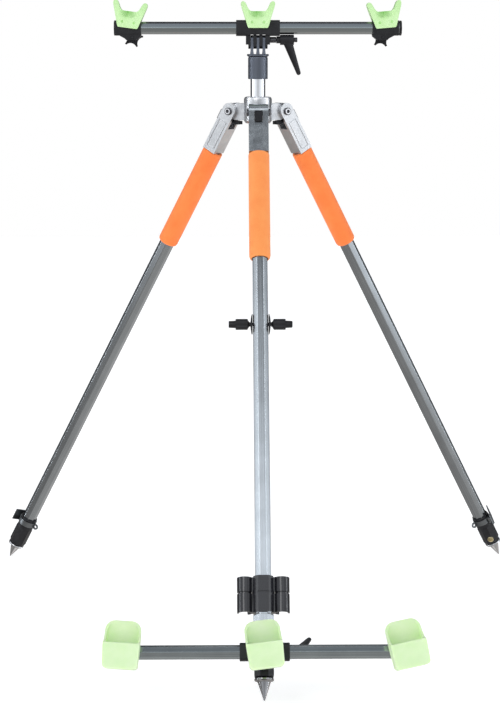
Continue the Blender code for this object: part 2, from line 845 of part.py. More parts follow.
def clamp_lever():
    """Plate laid against the band, turning on a pin that is parallel to the leg."""
    low, high = BAND_Z - BAND_HALF, BAND_Z + BAND_HALF
    knuckle = Vector((0.0208 * math.cos(math.radians(50)), -0.0208 * math.sin(math.radians(50))))

    def xy(radial, along):  # radial at -30 degrees round the leg, along at +60
        return (
            radial * math.sin(math.radians(-30)) + along * math.sin(math.radians(60)),
            -radial * math.cos(math.radians(-30)) - along * math.cos(math.radians(60)),
        )

    plate = [
        xy(r, t)
        for r, t in (
            (0.0188, 0.0225),
            (0.0200, 0.0235),
            (0.0212, 0.0225),
            (0.0212, -0.0120),
            (0.0196, -0.0158),
            (0.0172, -0.0180),
            (0.0172, -0.0150),
            (0.0188, -0.0112),
        )
    ]
    plate = flat([plate], BAND_Z - 0.0130, BAND_Z + 0.0108, "XY")
    web = [
        xy(r, t)
        for r, t in (
            (0.0185, -0.0120),
            (0.0185, -0.0172),
            (knuckle.x + 0.0010, knuckle.y - 0.0024),
            (knuckle.x - 0.0016, knuckle.y - 0.0018),
            (knuckle.x - 0.0024, knuckle.y),
            (knuckle.x - 0.0012, knuckle.y + 0.0021),
            (knuckle.x + 0.0014, knuckle.y + 0.0024),
        )
    ]
    web = flat([web], low + 0.0023, high - 0.0023, "XY")
    centre = xy(knuckle.x, knuckle.y)
    pin = rod((*centre, low), (*centre, high), 0.0013, segments=12)
    return joined(plate, web, pin)


def spike():
    foot = -LEG_LEN
    return turned(
        [
            (0, -0.9950),
            (0.0083, -0.9950),
            (0.0089, -0.9958),
            (0.0089, -1.0152),
            (0.0150, -1.0154),
            (0.0158, -1.0166),
            (0.0158, -1.0192),
            (0.0128, -1.0200),
            (0.0106, -1.0216),
            (TIP_R, foot + 0.0004),
            (TIP_R * 0.9, foot),
            (0, foot),
        ],
        28,
    )


yoke_mesh = pivot_mesh = None
LEG_PIECES = (
    ("yoke", yoke, CAST),
    ("pivot_bolt", pivot_bolt, STEEL),
    ("angle_pawl", angle_pawl, PLASTIC),
    ("grip", grip, FOAM),
    ("leg_tube", lambda: octagon_tube(TUBE_AF, TUBE_BORE, GRIP_TOP, -0.9845), TUBE),
    ("lower_tube", lambda: octagon_tube(INNER_AF, INNER_BORE, INNER_TOP, -1.0149), TUBE),
    ("clamp_body", clamp_body, PLASTIC),
    ("clamp_band", clamp_band, BAND),
    ("clamp_lever", clamp_lever, BAND),
    ("spike", spike, STEEL),
)
# The front leg's clamp is turned a quarter, so that it clears the butt holder.
CLAMP = {
    side: empty("foot_clamp_" + side, LEG[side], rotation=(0, 0, -90.0 if side == "front" else 0.0))
    for side in LEG
}
for piece, build, look in LEG_PIECES:
    first = None
    for side in ("left", "right", "front"):
        parent = CLAMP[side] if piece.startswith("clamp") else LEG[side]
        if first is None:
            first = named(build(), piece + "_left", parent, look)
        elif piece == "leg_tube" and side == "front":
            ob = octagon_tube(TUBE_AF, TUBE_BORE, GRIP_TOP, -0.9845)
            cut(ob, rod((-0.02, 0, STUD_Z), (0.02, 0, STUD_Z), 0.0034, segments=16))
            named(ob, "leg_tube_front", parent, look)
        else:
            copy_of(first, piece + "_" + side, parent)


# ---------------------------------------------------------------------------
# Accessory knobs on the front leg
# ---------------------------------------------------------------------------
FRONT = LEG["front"]


def saddle_washer():
    """A bowed plate against the +X side of the tube."""
    out = [(0.0138, 0.0160), (0.0150, 0.0164), (0.0164, 0.0110), (0.0176, 0.0)]
    out += [(0.0164, -0.0110), (0.0150, -0.0164), (0.0138, -0.0160)]
    ob = flat([out], -0.0075, 0.0075, "XZ")
    return cut(ob, rod((0.01, 0, 0), (0.02, 0, 0), 0.0034, segments=16))


def thumb_knob():
    """On +X: a thin neck, a lobed grip and a narrower end."""
    body = turned(
        [(0, 0.0547), (0.0050, 0.0547), (0.0058, 0.0539), (0.0064, 0.0432), (0.0064, 0.0380), (0, 0.0380)],
        24,
        "X",
    )
    grip_part = flat([star(6, 0.0094, 0.0082, 0.6, 3)], 0.0222, 0.0428, "YZ")
    grip_part = bevelled(grip_part, 0.0008, 1, 60)
    neck = turned([(0, 0.0226), (0.0078, 0.0226), (0.0078, 0.0218), (0.0040, 0.0196), (0.0040, 0.0180), (0, 0.0180)], 24, "X")
    return joined(body, grip_part, neck)


STUD = empty("accessory_stud", FRONT, (0, 0, STUD_Z))
MIRROR = empty("accessory_stud_left", STUD, rotation=(0, 0, 180))
washer = named(saddle_washer(), "saddle_washer_right", STUD, PLASTIC)
copy_of(washer, "saddle_washer_left", MIRROR)
right = cut(thumb_knob(), rod((0.0, 0, 0), (0.0460, 0, 0), 0.0033, segments=16))
named(right, "accessory_knob_right", STUD, PLASTIC)
left = joined(thumb_knob(), rod((-0.0440, 0, 0), (0.0200, 0, 0), 0.0030, segments=16))
named(left, "accessory_knob_left", MIRROR, PLASTIC)


# ---------------------------------------------------------------------------
# Leg clip and butt carriage on the front leg
# ---------------------------------------------------------------------------
def leg_clip():
    """A ring on the leg tube with a spring clip on each side, in two rows."""
    a, b = 0.0163, 0.0085
    outer = [(b, -a), (a, -b), (a, b), (b, a), (-b, a), (-a, b), (-a, -b), (-b, -a)]
    ring = flat([outer], -0.9100, -0.8500, "XY")
    for side in (-1, 1):
        opening = 90 - 25 * side  # the way the clip opens, backwards and a little outwards
        clip = arc((side * 0.0300, 0), 0.0128, opening + 50, opening + 310, 18)
        clip += arc((side * 0.0300, 0), 0.0098, opening + 310, opening + 50, 18)
        boolean(ring, flat([clip], -0.9095, -0.8515, "XY"), "UNION")
        web = box(sorted((side * 0.0140, side * 0.0190)), (-0.0060, 0.0060), (-0.9095, -0.8515))
        boolean(ring, web, "UNION")
        cut(ring, rod((side * 0.0300, 0, -0.95), (side * 0.0300, 0, -0.80), 0.0098, segments=24))
        groove = turned([(0.0118, -0.8781), (0.0150, -0.8781), (0.0150, -0.8764), (0.0118, -0.8764), (0.0118, -0.8781)], 24)
        cut(ring, moved(groove, Matrix.Translation((side * 0.0300, 0, 0))))
    cut(ring, box((-0.0145, 0.0145), (-0.03, -0.0158), (-0.8779, -0.8766)))
    return cut(ring, flat([octagon(TUBE_AF + 2 * GAP)], -0.95, -0.80, "XY"))


def carriage_sleeve():
    ob = flat([octagon(0.0334)], CARRIAGE_END, CARRIAGE_TOP, "XY")
    ob = bevelled(ob, 0.0006, 1, 60)
    n, s = BUTT_N, BUTT_S
    outline = [
        (-0.0150, -0.9300),
        (-0.0230, -0.9300),
        (-n - 0.0085, -0.9600),
    ]
    outline += arc((-n, -s), 0.0085, 180, 360, 10)
    outline += [(-n + 0.0085, -0.9570), (-0.0190, -0.9440), (-0.0150, -0.9440)]
    for x in (-FINGER_X, 0.0, FINGER_X):
        boolean(ob, finger(outline, x), "UNION")
    ob = joined(ob, rod((0, 0.0150, -0.930), (0, 0.0205, -0.930), 0.0065, segments=20))
    cut(ob, flat([octagon(TUBE_AF + 2 * GAP)], -1.0, -0.85, "XY"))
    cut(ob, rod((0, 0, -0.930), (0, 0.04, -0.930), 0.0028, segments=16))
    return cut(ob, rod((-0.03, -n, -s), (0.03, -n, -s), 0.0033, segments=16))


def carriage_knob():
    """Fluted knob behind the sleeve, with its screw on the tube."""
    head = flat([star(8, 0.0107, 0.0099, 0.6, 2)], 0.0209, 0.0320, "XZ")
    head = bevelled(head, 0.0010, 1, 60)
    return joined(head, rod((0, 0.0133, 0), (0, 0.0220, 0), 0.0025, segments=16))


named(leg_clip(), "leg_clip", FRONT, PLASTIC)
named(carriage_sleeve(), "butt_carriage", FRONT, TUBE)
CARRIAGE_KNOB = empty("carriage_knob_frame", FRONT, (0, 0, -0.930))
named(carriage_knob(), "carriage_knob", CARRIAGE_KNOB, PLASTIC)

# ---------------------------------------------------------------------------
# Lower bar with three butt cups, in the butt hinge's frame: +Z to the front, +Y up
# ---------------------------------------------------------------------------
LOWER = empty("lower_bar_frame", BUTT, (0, 0, BAR_UP))
CUP_BACK = 0.0146


def cup():
    """A scoop: low front wall, high back wall with a hole for its stud. In the bar's frame."""
    outline = [
        (-0.0268, -0.0270),
        (0.0268, -0.0270),
        (0.0284, 0.0060),
        (0.0282, 0.0490),
        (-0.0282, 0.0490),
        (-0.0284, 0.0060),
    ]
    radii = [0.0060, 0.0060, 0.0200, 0.0150, 0.0150, 0.0200]
    ob = flat([rounded(outline, radii, 4)], CUP_BACK, CUP_BACK + 0.0455, "XY")
    inner = [
        (-0.0238, -0.0240),
        (0.0238, -0.0240),
        (0.0254, 0.0060),
        (0.0251, 0.0345),
        (0.0172, 0.0460),
        (0.0172, 0.0700),
        (-0.0172, 0.0700),
        (-0.0172, 0.0460),
        (-0.0251, 0.0345),
        (-0.0254, 0.0060),
    ]
    radii = [0.0040, 0.0040, 0.0100, 0.0060, 0.0020, 0, 0, 0.0020, 0.0060, 0.0100]
    inner = flat([rounded(inner, radii, 3)], CUP_BACK + 0.0030, CUP_BACK + 0.0425, "XY")
    cut(ob, inner)
    z = CUP_BACK
    scoop = [
        (0.0125, z + 0.0600),
        (0.0125, z + 0.0455),
        (0.0132, z + 0.0370),
        (0.0168, z + 0.0270),
        (0.0240, z + 0.0170),
        (0.0345, z + 0.0085),
        (0.0430, z + 0.0030),
        (0.0700, z + 0.0030),
        (0.0700, z + 0.0600),
    ]
    cut(ob, flat([scoop], -0.05, 0.05, "YZ"))
    return cut(ob, rod((0, 0, 0.0), (0, 0, CUP_BACK + 0.0027), 0.0043, segments=20))


def cup_stud(front):
    """Boss and stud that the cup turns on; front is the face that carries them."""
    boss = rod((0, 0, front - 0.0015), (0, 0, CUP_BACK - GAP), 0.0090, segments=24)
    return [boss, rod((0, 0, front - 0.0020), (0, 0, CUP_BACK + 0.0024), 0.0040, segments=20)]


def cup_slider():
    t = 0.0130
    outer = rounded([(-t, -t), (t, -t), (t, t), (-t, t)], 0.0040, 2)
    ob = bevelled(flat([outer], -0.0237, 0.0237, "YZ"), 0.0008)
    ob = joined(ob, *cup_stud(t))
    return cut(ob, flat([octagon(BAR_AF + 2 * GAP, 0)], -0.05, 0.05, "YZ"))


butt_tee = tee()
for stud in cup_stud(SLEEVE_T):
    moved(stud, Matrix.Translation((0, 0, BAR_UP)))
    boolean(butt_tee, stud, "UNION")
bore = flat([octagon(BAR_AF + 2 * GAP, 0)], -0.05, 0.05, "YZ")
cut(butt_tee, moved(bore, Matrix.Translation((0, 0, BAR_UP))))
named(butt_tee, "butt_tee", BUTT, PLASTIC)
copy_of(bolt, "butt_hinge_bolt", BUTT)
copy_of(handle, "butt_clamp_lever", empty("butt_lever_frame", BUTT, rotation=(BUTT_LEVER_TURN, 0, 0)))
named(bar(LOWER_HALF), "lower_bar", LOWER, TUBE)
first_cup = first_slide = None
for side, x in (("left", -CUP_X), ("centre", 0.0), ("right", CUP_X)):
    cup_frame = empty("cup_frame_" + side, LOWER, (x, 0, 0), (0, 0, -CUP_TURN[side]))
    if first_cup is None:
        first_cup = named(cup(), "butt_cup_left", cup_frame, GREEN)
    else:
        copy_of(first_cup, "butt_cup_" + side, cup_frame)
    if side == "centre":
        continue
    slide_frame = empty("cup_slider_frame_" + side, LOWER, (x, 0, 0))
    if first_slide is None:
        first_slide = named(cup_slider(), "cup_slider_left", slide_frame, PLASTIC)
    else:
        copy_of(first_slide, "cup_slider_" + side, slide_frame)

bpy.context.view_layer.update()
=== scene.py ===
"""Looks of the surf rod tripod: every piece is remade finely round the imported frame."""

import math

import bmesh
import bpy
from mathutils import Euler, Matrix, Vector

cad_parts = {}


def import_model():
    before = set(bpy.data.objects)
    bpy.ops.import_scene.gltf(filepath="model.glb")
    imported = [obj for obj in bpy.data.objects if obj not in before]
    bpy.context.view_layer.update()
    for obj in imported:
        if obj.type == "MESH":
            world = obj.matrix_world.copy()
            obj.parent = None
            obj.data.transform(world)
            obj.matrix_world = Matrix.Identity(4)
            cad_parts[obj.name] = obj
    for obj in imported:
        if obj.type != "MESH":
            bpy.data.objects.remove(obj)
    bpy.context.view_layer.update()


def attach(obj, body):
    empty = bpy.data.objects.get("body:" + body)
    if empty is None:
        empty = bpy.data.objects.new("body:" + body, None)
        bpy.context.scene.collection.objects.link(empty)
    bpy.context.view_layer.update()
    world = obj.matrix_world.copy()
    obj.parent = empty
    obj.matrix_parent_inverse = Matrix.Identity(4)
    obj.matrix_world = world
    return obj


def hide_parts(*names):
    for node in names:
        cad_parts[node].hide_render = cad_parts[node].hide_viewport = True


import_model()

# ---------------------------------------------------------------------------
# Driving dimensions (metres, degrees)
# ---------------------------------------------------------------------------
SPLAY = 30.0  # leg angle from the vertical, at the pawl stop
LEG_LEN = 1.0508  # leg pivot to spike tip, lower tube pushed in
TIP_R = 0.0012  # blunt end of the spike
PIVOT_R = 0.052  # leg pivots from the hub's axis
PIVOT_Z = LEG_LEN * math.cos(math.radians(SPLAY)) + TIP_R * math.sin(math.radians(SPLAY))
AZIMUTH = {"front": -90.0, "left": 150.0, "right": 30.0}
SHIFT = (0.0, 0.1807)  # the hub's axis from the origin

GAP = 0.0003  # between touching pieces
FINE = 1.6  # share of the full number of segments round curves
SMALL_EDGE = 0.0  # bevels narrower than this are left sharp

TUBE_AF = 0.0260  # leg tube, across the flats
TUBE_BORE = 0.0236
INNER_AF = 0.0203  # lower tube
INNER_BORE = 0.0185
INNER_TOP = -0.560
GRIP_R = 0.0186
GRIP_TOP = -0.0838
GRIP_END = -0.2860

BODY_TOP = -0.949  # clamp body at the lower end of the leg tube
BODY_MID = -0.971
BODY_END = -1.0148
BAND_Z = -0.959
BAND_HALF = 0.0055

LUG_R = 0.0090  # hub lug round the leg pivot
LUG_HALF = 0.0104
SLOT_HALF = 0.0108
YOKE_HALF = 0.0175
BOLT_R = 0.0040

PAWL_Y = -0.0118  # pawl pin in the leg's frame
PAWL_Z = -0.0065

HINGE_Z = 1.0390  # head hinge axis above the ground
BAR_UP = 0.0210  # hinge axis to the middle of the bar
BAR_AF = 0.0210
BAR_BORE = 0.0170
UPPER_HALF = 0.2590
LOWER_HALF = 0.2500
SLEEVE_HALF = 0.0394
SLEEVE_T = 0.0142
SLIDER_T = 0.0135
TEE_END = 0.0160
FINGER_X = 0.0108
FINGER_T = 0.0048
REST_X = {"left": -0.2340, "centre": 0.0, "right": 0.2300}
REST_PIN_Z = 0.0040  # rest's trunnions above the middle of the bar
REST_TILT = {"left": 7.5, "centre": 0.0, "right": -5.0}
KNOB_Z = -0.0165  # star knob's axis below the middle of the bar
KNOB_X = {"left": 0.0078, "right": 0.0050}  # and inboard of the slider's middle
KNOB_TURN = {"left": -67.0, "right": -60.0}

CARRIAGE_TOP = -0.9135
CARRIAGE_END = -0.9470
BUTT_N = 0.0330  # lower hinge axis, out from the leg's axis
BUTT_S = 0.9805  # and down the leg from its pivot
CUP_TILT = 21.0  # cups lean back from the vertical
CUP_X = 0.2240
CUP_TURN = {"left": 4.0, "centre": -7.0, "right": -12.0}
BUTT_LEVER_TURN = 23.0
STUD_Z = -0.4076  # accessory knobs on the front leg
CUP_BACK = 0.0146  # back wall of a cup, in front of the middle of the lower bar


# ---------------------------------------------------------------------------
# Modelling helpers
# ---------------------------------------------------------------------------
def seg(count, least=8):
    return max(least, 2 * round(count * FINE / 2))


def from_bmesh(bm):
    mesh = bpy.data.meshes.new("piece")
    bmesh.ops.recalc_face_normals(bm, faces=bm.faces)
    bm.to_mesh(mesh)
    bm.free()
    ob = bpy.data.objects.new("piece", mesh)
    bpy.context.scene.collection.objects.link(ob)
    return ob


def applied(ob):
    """The object with its modifiers applied, or a curve turned into a mesh."""
    graph = bpy.context.evaluated_depsgraph_get()
    mesh = bpy.data.meshes.new_from_object(ob.evaluated_get(graph))
    bm = bmesh.new()
    bm.from_mesh(mesh)
    bmesh.ops.remove_doubles(bm, verts=bm.verts, dist=1e-6)
    bmesh.ops.recalc_face_normals(bm, faces=bm.faces)
    bm.to_mesh(mesh)
    bm.free()
    if ob.type == "MESH":
        ob.modifiers.clear()
        ob.data = mesh
        return ob
    new = bpy.data.objects.new("piece", mesh)
    new.matrix_world = ob.matrix_world
    bpy.context.scene.collection.objects.link(new)
    bpy.data.objects.remove(ob, do_unlink=True)
    return new


def moved(ob, matrix):
    ob.data.transform(matrix)
    return ob


def boolean(ob, tool, operation="DIFFERENCE"):
    mod = ob.modifiers.new("boolean", "BOOLEAN")
    mod.operation = operation
    mod.solver = "EXACT"
    mod.object = tool
    applied(ob)
    bpy.data.objects.remove(tool, do_unlink=True)
    return ob


def joined(first, *rest):
    for other in rest:
        boolean(first, other, "UNION")
    return first


def cut(ob, *tools):
    for tool in tools:
        boolean(ob, tool, "DIFFERENCE")
    return ob


def box(x, y, z, bevel=0.0, segments=1, along=None):
    """A box from (x0, x1), (y0, y1), (z0, z1); bevel rounds all its edges, or those along one axis."""
    bm = bmesh.new()
    bmesh.ops.create_cube(bm, size=1.0)
    bmesh.ops.scale(bm, vec=(x[1] - x[0], y[1] - y[0], z[1] - z[0]), verts=bm.verts)
    bmesh.ops.translate(
        bm, vec=((x[0] + x[1]) / 2, (y[0] + y[1]) / 2, (z[0] + z[1]) / 2), verts=bm.verts
    )
    if bevel:
        edges = [
            e
            for e in bm.edges
            if along is None or abs((e.verts[0].co - e.verts[1].co).normalized()["xyz".index(along)]) > 0.9
        ]
        bmesh.ops.bevel(
            bm, geom=edges, offset=bevel, offset_type="OFFSET", segments=segments, profile=0.5, affect="EDGES"
        )
    return from_bmesh(bm)


def rod(start, end, r0, r1=None, segments=24):
    """A cylinder, or a cone, between two points."""
    if segments > 6:
        segments = seg(segments)
    start, end = Vector(start), Vector(end)
    axis = end - start
    bm = bmesh.new()
    bmesh.ops.create_cone(
        bm,
        cap_ends=True,
        segments=segments,
        radius1=r0,
        radius2=r0 if r1 is None else r1,
        depth=axis.length,
    )
    turn = axis.to_track_quat("Z", "Y").to_matrix().to_4x4()
    bmesh.ops.transform(bm, matrix=Matrix.Translation((start + end) / 2) @ turn, verts=bm.verts)
    return from_bmesh(bm)


def ball(centre, r, segments=16, rings=8):
    bm = bmesh.new()
    bmesh.ops.create_uvsphere(bm, u_segments=seg(segments), v_segments=seg(rings, 4), radius=r)
    bmesh.ops.translate(bm, vec=centre, verts=bm.verts)
    return from_bmesh(bm)


def turned(profile, segments=32, axis="Z"):
    """A turned shape: (radius, height) points from the top of the axis down the outside to its foot."""
    mesh = bpy.data.meshes.new("profile")
    points = [(r, 0.0, h) for r, h in profile]
    mesh.from_pydata(points, [(i, i + 1) for i in range(len(points) - 1)], [])
    ob = bpy.data.objects.new("piece", mesh)
    bpy.context.scene.collection.objects.link(ob)
    screw = ob.modifiers.new("screw", "SCREW")
    screw.steps = seg(segments)
    screw.render_steps = seg(segments)
    screw.use_merge_vertices = True
    screw.merge_threshold = 1e-6
    applied(ob)
    if axis == "X":
        moved(ob, Matrix.Rotation(math.radians(90), 4, "Y"))
    elif axis == "Y":
        moved(ob, Matrix.Rotation(math.radians(-90), 4, "X"))
    return ob


def flat(loops, low, high, plane="XY"):
    """A flat outline (and its holes) of the XY, YZ or XZ plane, from low to high across it."""
    curve = bpy.data.curves.new("outline", "CURVE")
    curve.dimensions = "2D"
    curve.fill_mode = "BOTH"
    curve.extrude = (high - low) / 2
    for loop in loops:
        spline = curve.splines.new("POLY")
        spline.points.add(len(loop) - 1)
        for point, (u, v) in zip(spline.points, loop):
            point.co = (u, v, 0.0, 1.0)
        spline.use_cyclic_u = True
    ob = bpy.data.objects.new("piece", curve)
    bpy.context.scene.collection.objects.link(ob)
    ob = applied(ob)
    middle = (low + high) / 2
    if plane == "XY":
        matrix = Matrix.Translation((0, 0, middle))
    elif plane == "YZ":
        matrix = Matrix(((0, 0, 1, middle), (1, 0, 0, 0), (0, 1, 0, 0), (0, 0, 0, 1)))
    else:
        matrix = Matrix(((1, 0, 0, 0), (0, 0, -1, middle), (0, 1, 0, 0), (0, 0, 0, 1)))
    return moved(ob, matrix)


def bevelled(ob, width, segments=1, angle=40.0):
    if width < SMALL_EDGE:
        return ob
    mod = ob.modifiers.new("bevel", "BEVEL")
    mod.width = width
    mod.segments = segments
    mod.limit_method = "ANGLE"
    mod.angle_limit = math.radians(angle)
    return applied(ob)


def octagon(across, turn=22.5):
    r = across / 2 / math.cos(math.radians(22.5))
    return [
        (r * math.cos(math.radians(turn + 45 * k)), r * math.sin(math.radians(turn + 45 * k)))
        for k in range(8)
    ]


def circle(centre, r, segments=24):
    segments = seg(segments)
    return [
        (
            centre[0] + r * math.cos(2 * math.pi * k / segments),
            centre[1] + r * math.sin(2 * math.pi * k / segments),
        )
        for k in range(segments)
    ]


def arc(centre, r, start, end, steps=8):
    steps = max(3, round(steps * FINE))
    return [
        (
            centre[0] + r * math.cos(math.radians(start + (end - start) * k / steps)),
            centre[1] + r * math.sin(math.radians(start + (end - start) * k / steps)),
        )
        for k in range(steps + 1)
    ]


def rounded(points, r, steps=3):
    """An outline with its corners rounded to radius r (one value, or one for each corner)."""
    steps = max(1, round(steps * FINE))
    out = []
    count = len(points)
    for i, point in enumerate(points):
        radius = r[i] if isinstance(r, (list, tuple)) else r
        p = Vector(point)
        a = (Vector(points[i - 1]) - p).normalized()
        b = (Vector(points[(i + 1) % count]) - p).normalized()
        if radius <= 0 or abs(a.dot(b)) > 0.999:
            out.append(tuple(p))
            continue
        half = a.angle(b) / 2
        reach = radius / math.tan(half)
        centre = p + (a + b).normalized() * (radius / math.sin(half))
        first, last = p + a * reach, p + b * reach
        a0 = math.atan2(first.y - centre.y, first.x - centre.x)
        a1 = math.atan2(last.y - centre.y, last.x - centre.x)
        while a1 - a0 > math.pi:
            a1 -= 2 * math.pi
        while a1 - a0 < -math.pi:
            a1 += 2 * math.pi
        for k in range(steps + 1):
            t = a0 + (a1 - a0) * k / steps
            out.append((centre.x + radius * math.cos(t), centre.y + radius * math.sin(t)))
    return out

def turn_z(angle):
    return Matrix.Rotation(math.radians(angle), 4, "Z")


# ---------------------------------------------------------------------------
# Shapes
# ---------------------------------------------------------------------------
def hub_casting():
    top, low = PIVOT_Z + 0.0270, PIVOT_Z - 0.0210
    ob = turned(
        [
            (0, top),
            (0.0205, top),
            (0.0236, top - 0.0012),
            (0.0253, top - 0.0045),
            (0.0253, low + 0.0045),
            (0.0220, low),
            (0, low),
        ],
        36,
    )
    for azimuth in AZIMUTH.values():
        outline = arc((-PIVOT_R, PIVOT_Z), LUG_R, 270, 90, 10)
        outline += [
            (-PIVOT_R + 0.0140, PIVOT_Z + 0.0145),
            (-0.0180, PIVOT_Z + 0.0145),
            (-0.0180, PIVOT_Z - 0.0157),
            (-PIVOT_R + 0.0090, PIVOT_Z - 0.0157),
        ]
        lug = flat([outline], -LUG_HALF, LUG_HALF, "YZ")
        boolean(ob, moved(lug, turn_z(azimuth + 90)), "UNION")
    for azimuth in AZIMUTH.values():
        hole = rod(
            (-0.02, -PIVOT_R, PIVOT_Z), (0.02, -PIVOT_R, PIVOT_Z), BOLT_R + GAP, segments=20
        )
        cut(ob, moved(hole, turn_z(azimuth + 90)))
    return cut(ob, rod((0, 0, PIVOT_Z - 0.0125), (0, 0, top + 0.01), 0.0135 + GAP, segments=40))


def finger(outline, x):
    return flat([outline], x - FINGER_T / 2, x + FINGER_T / 2, "YZ")


def fork_root(x):
    """Web at the root of a collar finger, which widens it downwards."""
    half = FINGER_T / 2
    top = half - 0.0004
    low = half + 0.0008
    web = [(x - top, -0.0150), (x + top, -0.0150), (x + low, -0.0262), (x - low, -0.0262)]
    return flat([web], -0.0095, 0.0095, "XZ")


def head_collar():
    """In the head hinge's frame."""
    z = -HINGE_Z
    ob = turned(
        [
            (0, z + 1.0137),
            (0.0190, z + 1.0137),
            (0.0197, z + 1.0128),
            (0.0197, z + 1.0106),
            (0.0168, z + 1.0086),
            (0.0178, z + 1.0066),
            (0.0178, z + 0.9698),
            (0.0170, z + 0.9690),
            (0, z + 0.9690),
        ],
        36,
    )
    cut(ob, rod((0, 0, z + 0.9600), (0, 0, z + 0.9990), 0.0135 + GAP, segments=40))
    outline = arc((0, 0), 0.0085, 0, 180, 10) + [
        (-0.0085, -0.0120),
        (-0.0120, -0.0262),
        (0.0120, -0.0262),
        (0.0085, -0.0120),
    ]
    for x in (-FINGER_X, 0.0, FINGER_X):
        boolean(ob, finger(outline, x), "UNION")
        boolean(ob, fork_root(x), "UNION")
    return cut(ob, rod((-0.03, 0, 0), (0.03, 0, 0), 0.0033, segments=16))


def tee():
    """In a hinge's frame: its axis along X, the bar's middle at +Z."""
    t = SLEEVE_T
    outer = rounded([(-t, -t), (t, -t), (t, t), (-t, t)], 0.0050, 2)
    sleeve = moved(flat([outer], -SLEEVE_HALF, SLEEVE_HALF, "YZ"), Matrix.Translation((0, 0, BAR_UP)))
    sleeve = bevelled(sleeve, 0.0010)
    block = arc((0, 0), TEE_END, 227, 313, 8) + [(0.0101, 0.0100), (-0.0101, 0.0100)]
    upper = flat([block], -0.0217, 0.0217, "YZ")
    trim = 0.0085
    cut(upper, box((0.0173, 0.03), (-0.02, 0.02), (-0.02, -trim)))
    cut(upper, box((-0.03, -0.0173), (-0.02, 0.02), (-0.02, -trim)))
    ob = joined(sleeve, upper)
    for x in (-FINGER_X, 0.0, FINGER_X):
        half = FINGER_T / 2 + GAP
        cut(ob, box((x - half, x + half), (-0.03, 0.03), (-0.03, 0.0093)))
    cut(ob, rod((-0.03, 0, 0), (0.03, 0, 0), 0.0033, segments=16))
    bore = moved(
        flat([octagon(BAR_AF + 2 * GAP, 0)], -0.05, 0.05, "YZ"), Matrix.Translation((0, 0, BAR_UP))
    )
    return cut(ob, bore)


def trunnions(half, r=0.0030, out=0.0024):
    pins = []
    for side in (-1, 1):
        pins.append(
            rod((0, side * (half - 0.0015), REST_PIN_Z), (0, side * (half + out), REST_PIN_Z), r, segments=16)
        )
    return pins


def hinge_bolt():
    """Through the tee along X: hex head, shank, spacer, end nut. Profile runs from +X down to -X."""
    return turned(
        [
            (0, 0.0712),
            (0.0036, 0.0712),
            (0.0042, 0.0706),
            (0.0042, 0.0656),
            (0.0030, 0.0654),
            (0.0030, 0.0330),
            (0.0053, 0.0328),
            (0.0053, 0.0221),
            (0.0030, 0.0219),
            (0.0030, -0.0215),
            (0, -0.0215),
        ],
        24,
        "X",
    )


def clamp_handle():
    """Hub on the bolt and an arm that hangs towards -Z and leans out to +X."""
    hub = turned(
        [
            (0, 0.0650),
            (0.0086, 0.0650),
            (0.0092, 0.0644),
            (0.0092, 0.0402),
            (0.0063, 0.0398),
            (0.0063, 0.0334),
            (0, 0.0334),
        ],
        28,
        "X",
    )
    start, end = Vector((0.0533, 0, -0.0030)), Vector((0.0736, 0, -0.0590))
    arm = rod(start, end, 0.0084, 0.0040, 20)
    arm = joined(arm, ball(end, 0.0040))
    moved(arm, Matrix.Diagonal((1, 0.86, 1, 1)))
    ob = joined(hub, arm)
    return cut(ob, rod((0.02, 0, 0), (0.09, 0, 0), 0.0033, segments=16))


def bar(half):
    return flat([octagon(BAR_AF, 0), octagon(BAR_BORE, 0)], -half, half, "YZ")


def slider(side):
    """A split sleeve on the bar with two ears under it, and a trunnion on each side."""
    inboard = 1 if side == "left" else -1
    t = SLIDER_T
    outer = rounded([(-t, -t), (t, -t), (t, t), (-t, t)], 0.0040, 2)
    ob = bevelled(flat([outer], -0.0237, 0.0237, "YZ"), 0.0008)
    ears = [
        (inboard * x, z)
        for x, z in (
            (-0.0165, -0.0110),
            (-0.0145, -0.0140),
            (-0.0060, -0.0185),
            (-0.0030, -0.0215),
            (0.0145, -0.0215),
            (0.0180, -0.0190),
            (0.0230, -0.0150),
            (0.0230, -0.0110),
        )
    ]
    ears = flat([ears], -t + 0.0008, t - 0.0008, "XZ")
    ob = joined(ob, ears, *trunnions(t))
    cut(ob, flat([octagon(BAR_AF + 2 * GAP, 0)], -0.05, 0.05, "YZ"))
    cut(ob, box((-0.05, 0.05), (-0.0010, 0.0010), (-0.05, 0.0)))
    x = inboard * KNOB_X[side]
    return cut(ob, rod((x, -0.02, KNOB_Z), (x, 0.02, KNOB_Z), 0.0028, segments=16))


def star(lobes, big, small, share=0.87, steps=8):
    """Outline of a hand knob: concave arcs between the lobes take that share of the turn."""
    steps = max(4, round(steps * FINE))
    pitch = math.pi / lobes
    c = math.cos(share * pitch)
    r = (small**2 + big**2 - 2 * big * small * c) / (2 * (big * c - small))
    d = r + small
    out = []
    for k in range(lobes):
        middle = (2 * k + 1) * pitch
        for i in range(-steps, steps + 1):
            angle = share * pitch * i / steps
            reach = d * math.cos(angle) - math.sqrt(max(0.0, r * r - (d * math.sin(angle)) ** 2))
            out.append((reach * math.cos(middle + angle), reach * math.sin(middle + angle)))
    return out


def star_knob():
    """Its axis is Y; the star is behind the slider and the screw runs forwards through the ears."""
    head = flat([star(5, 0.0204, 0.0108)], 0.0196, 0.0280, "XZ")
    neck = rod((0, SLIDER_T + GAP, 0), (0, 0.0200, 0), 0.0072, 0.0085, 20)
    screw = rod((0, -SLIDER_T, 0), (0, SLIDER_T + 0.0020, 0), 0.0025, segments=16)
    return joined(head, neck, screw)


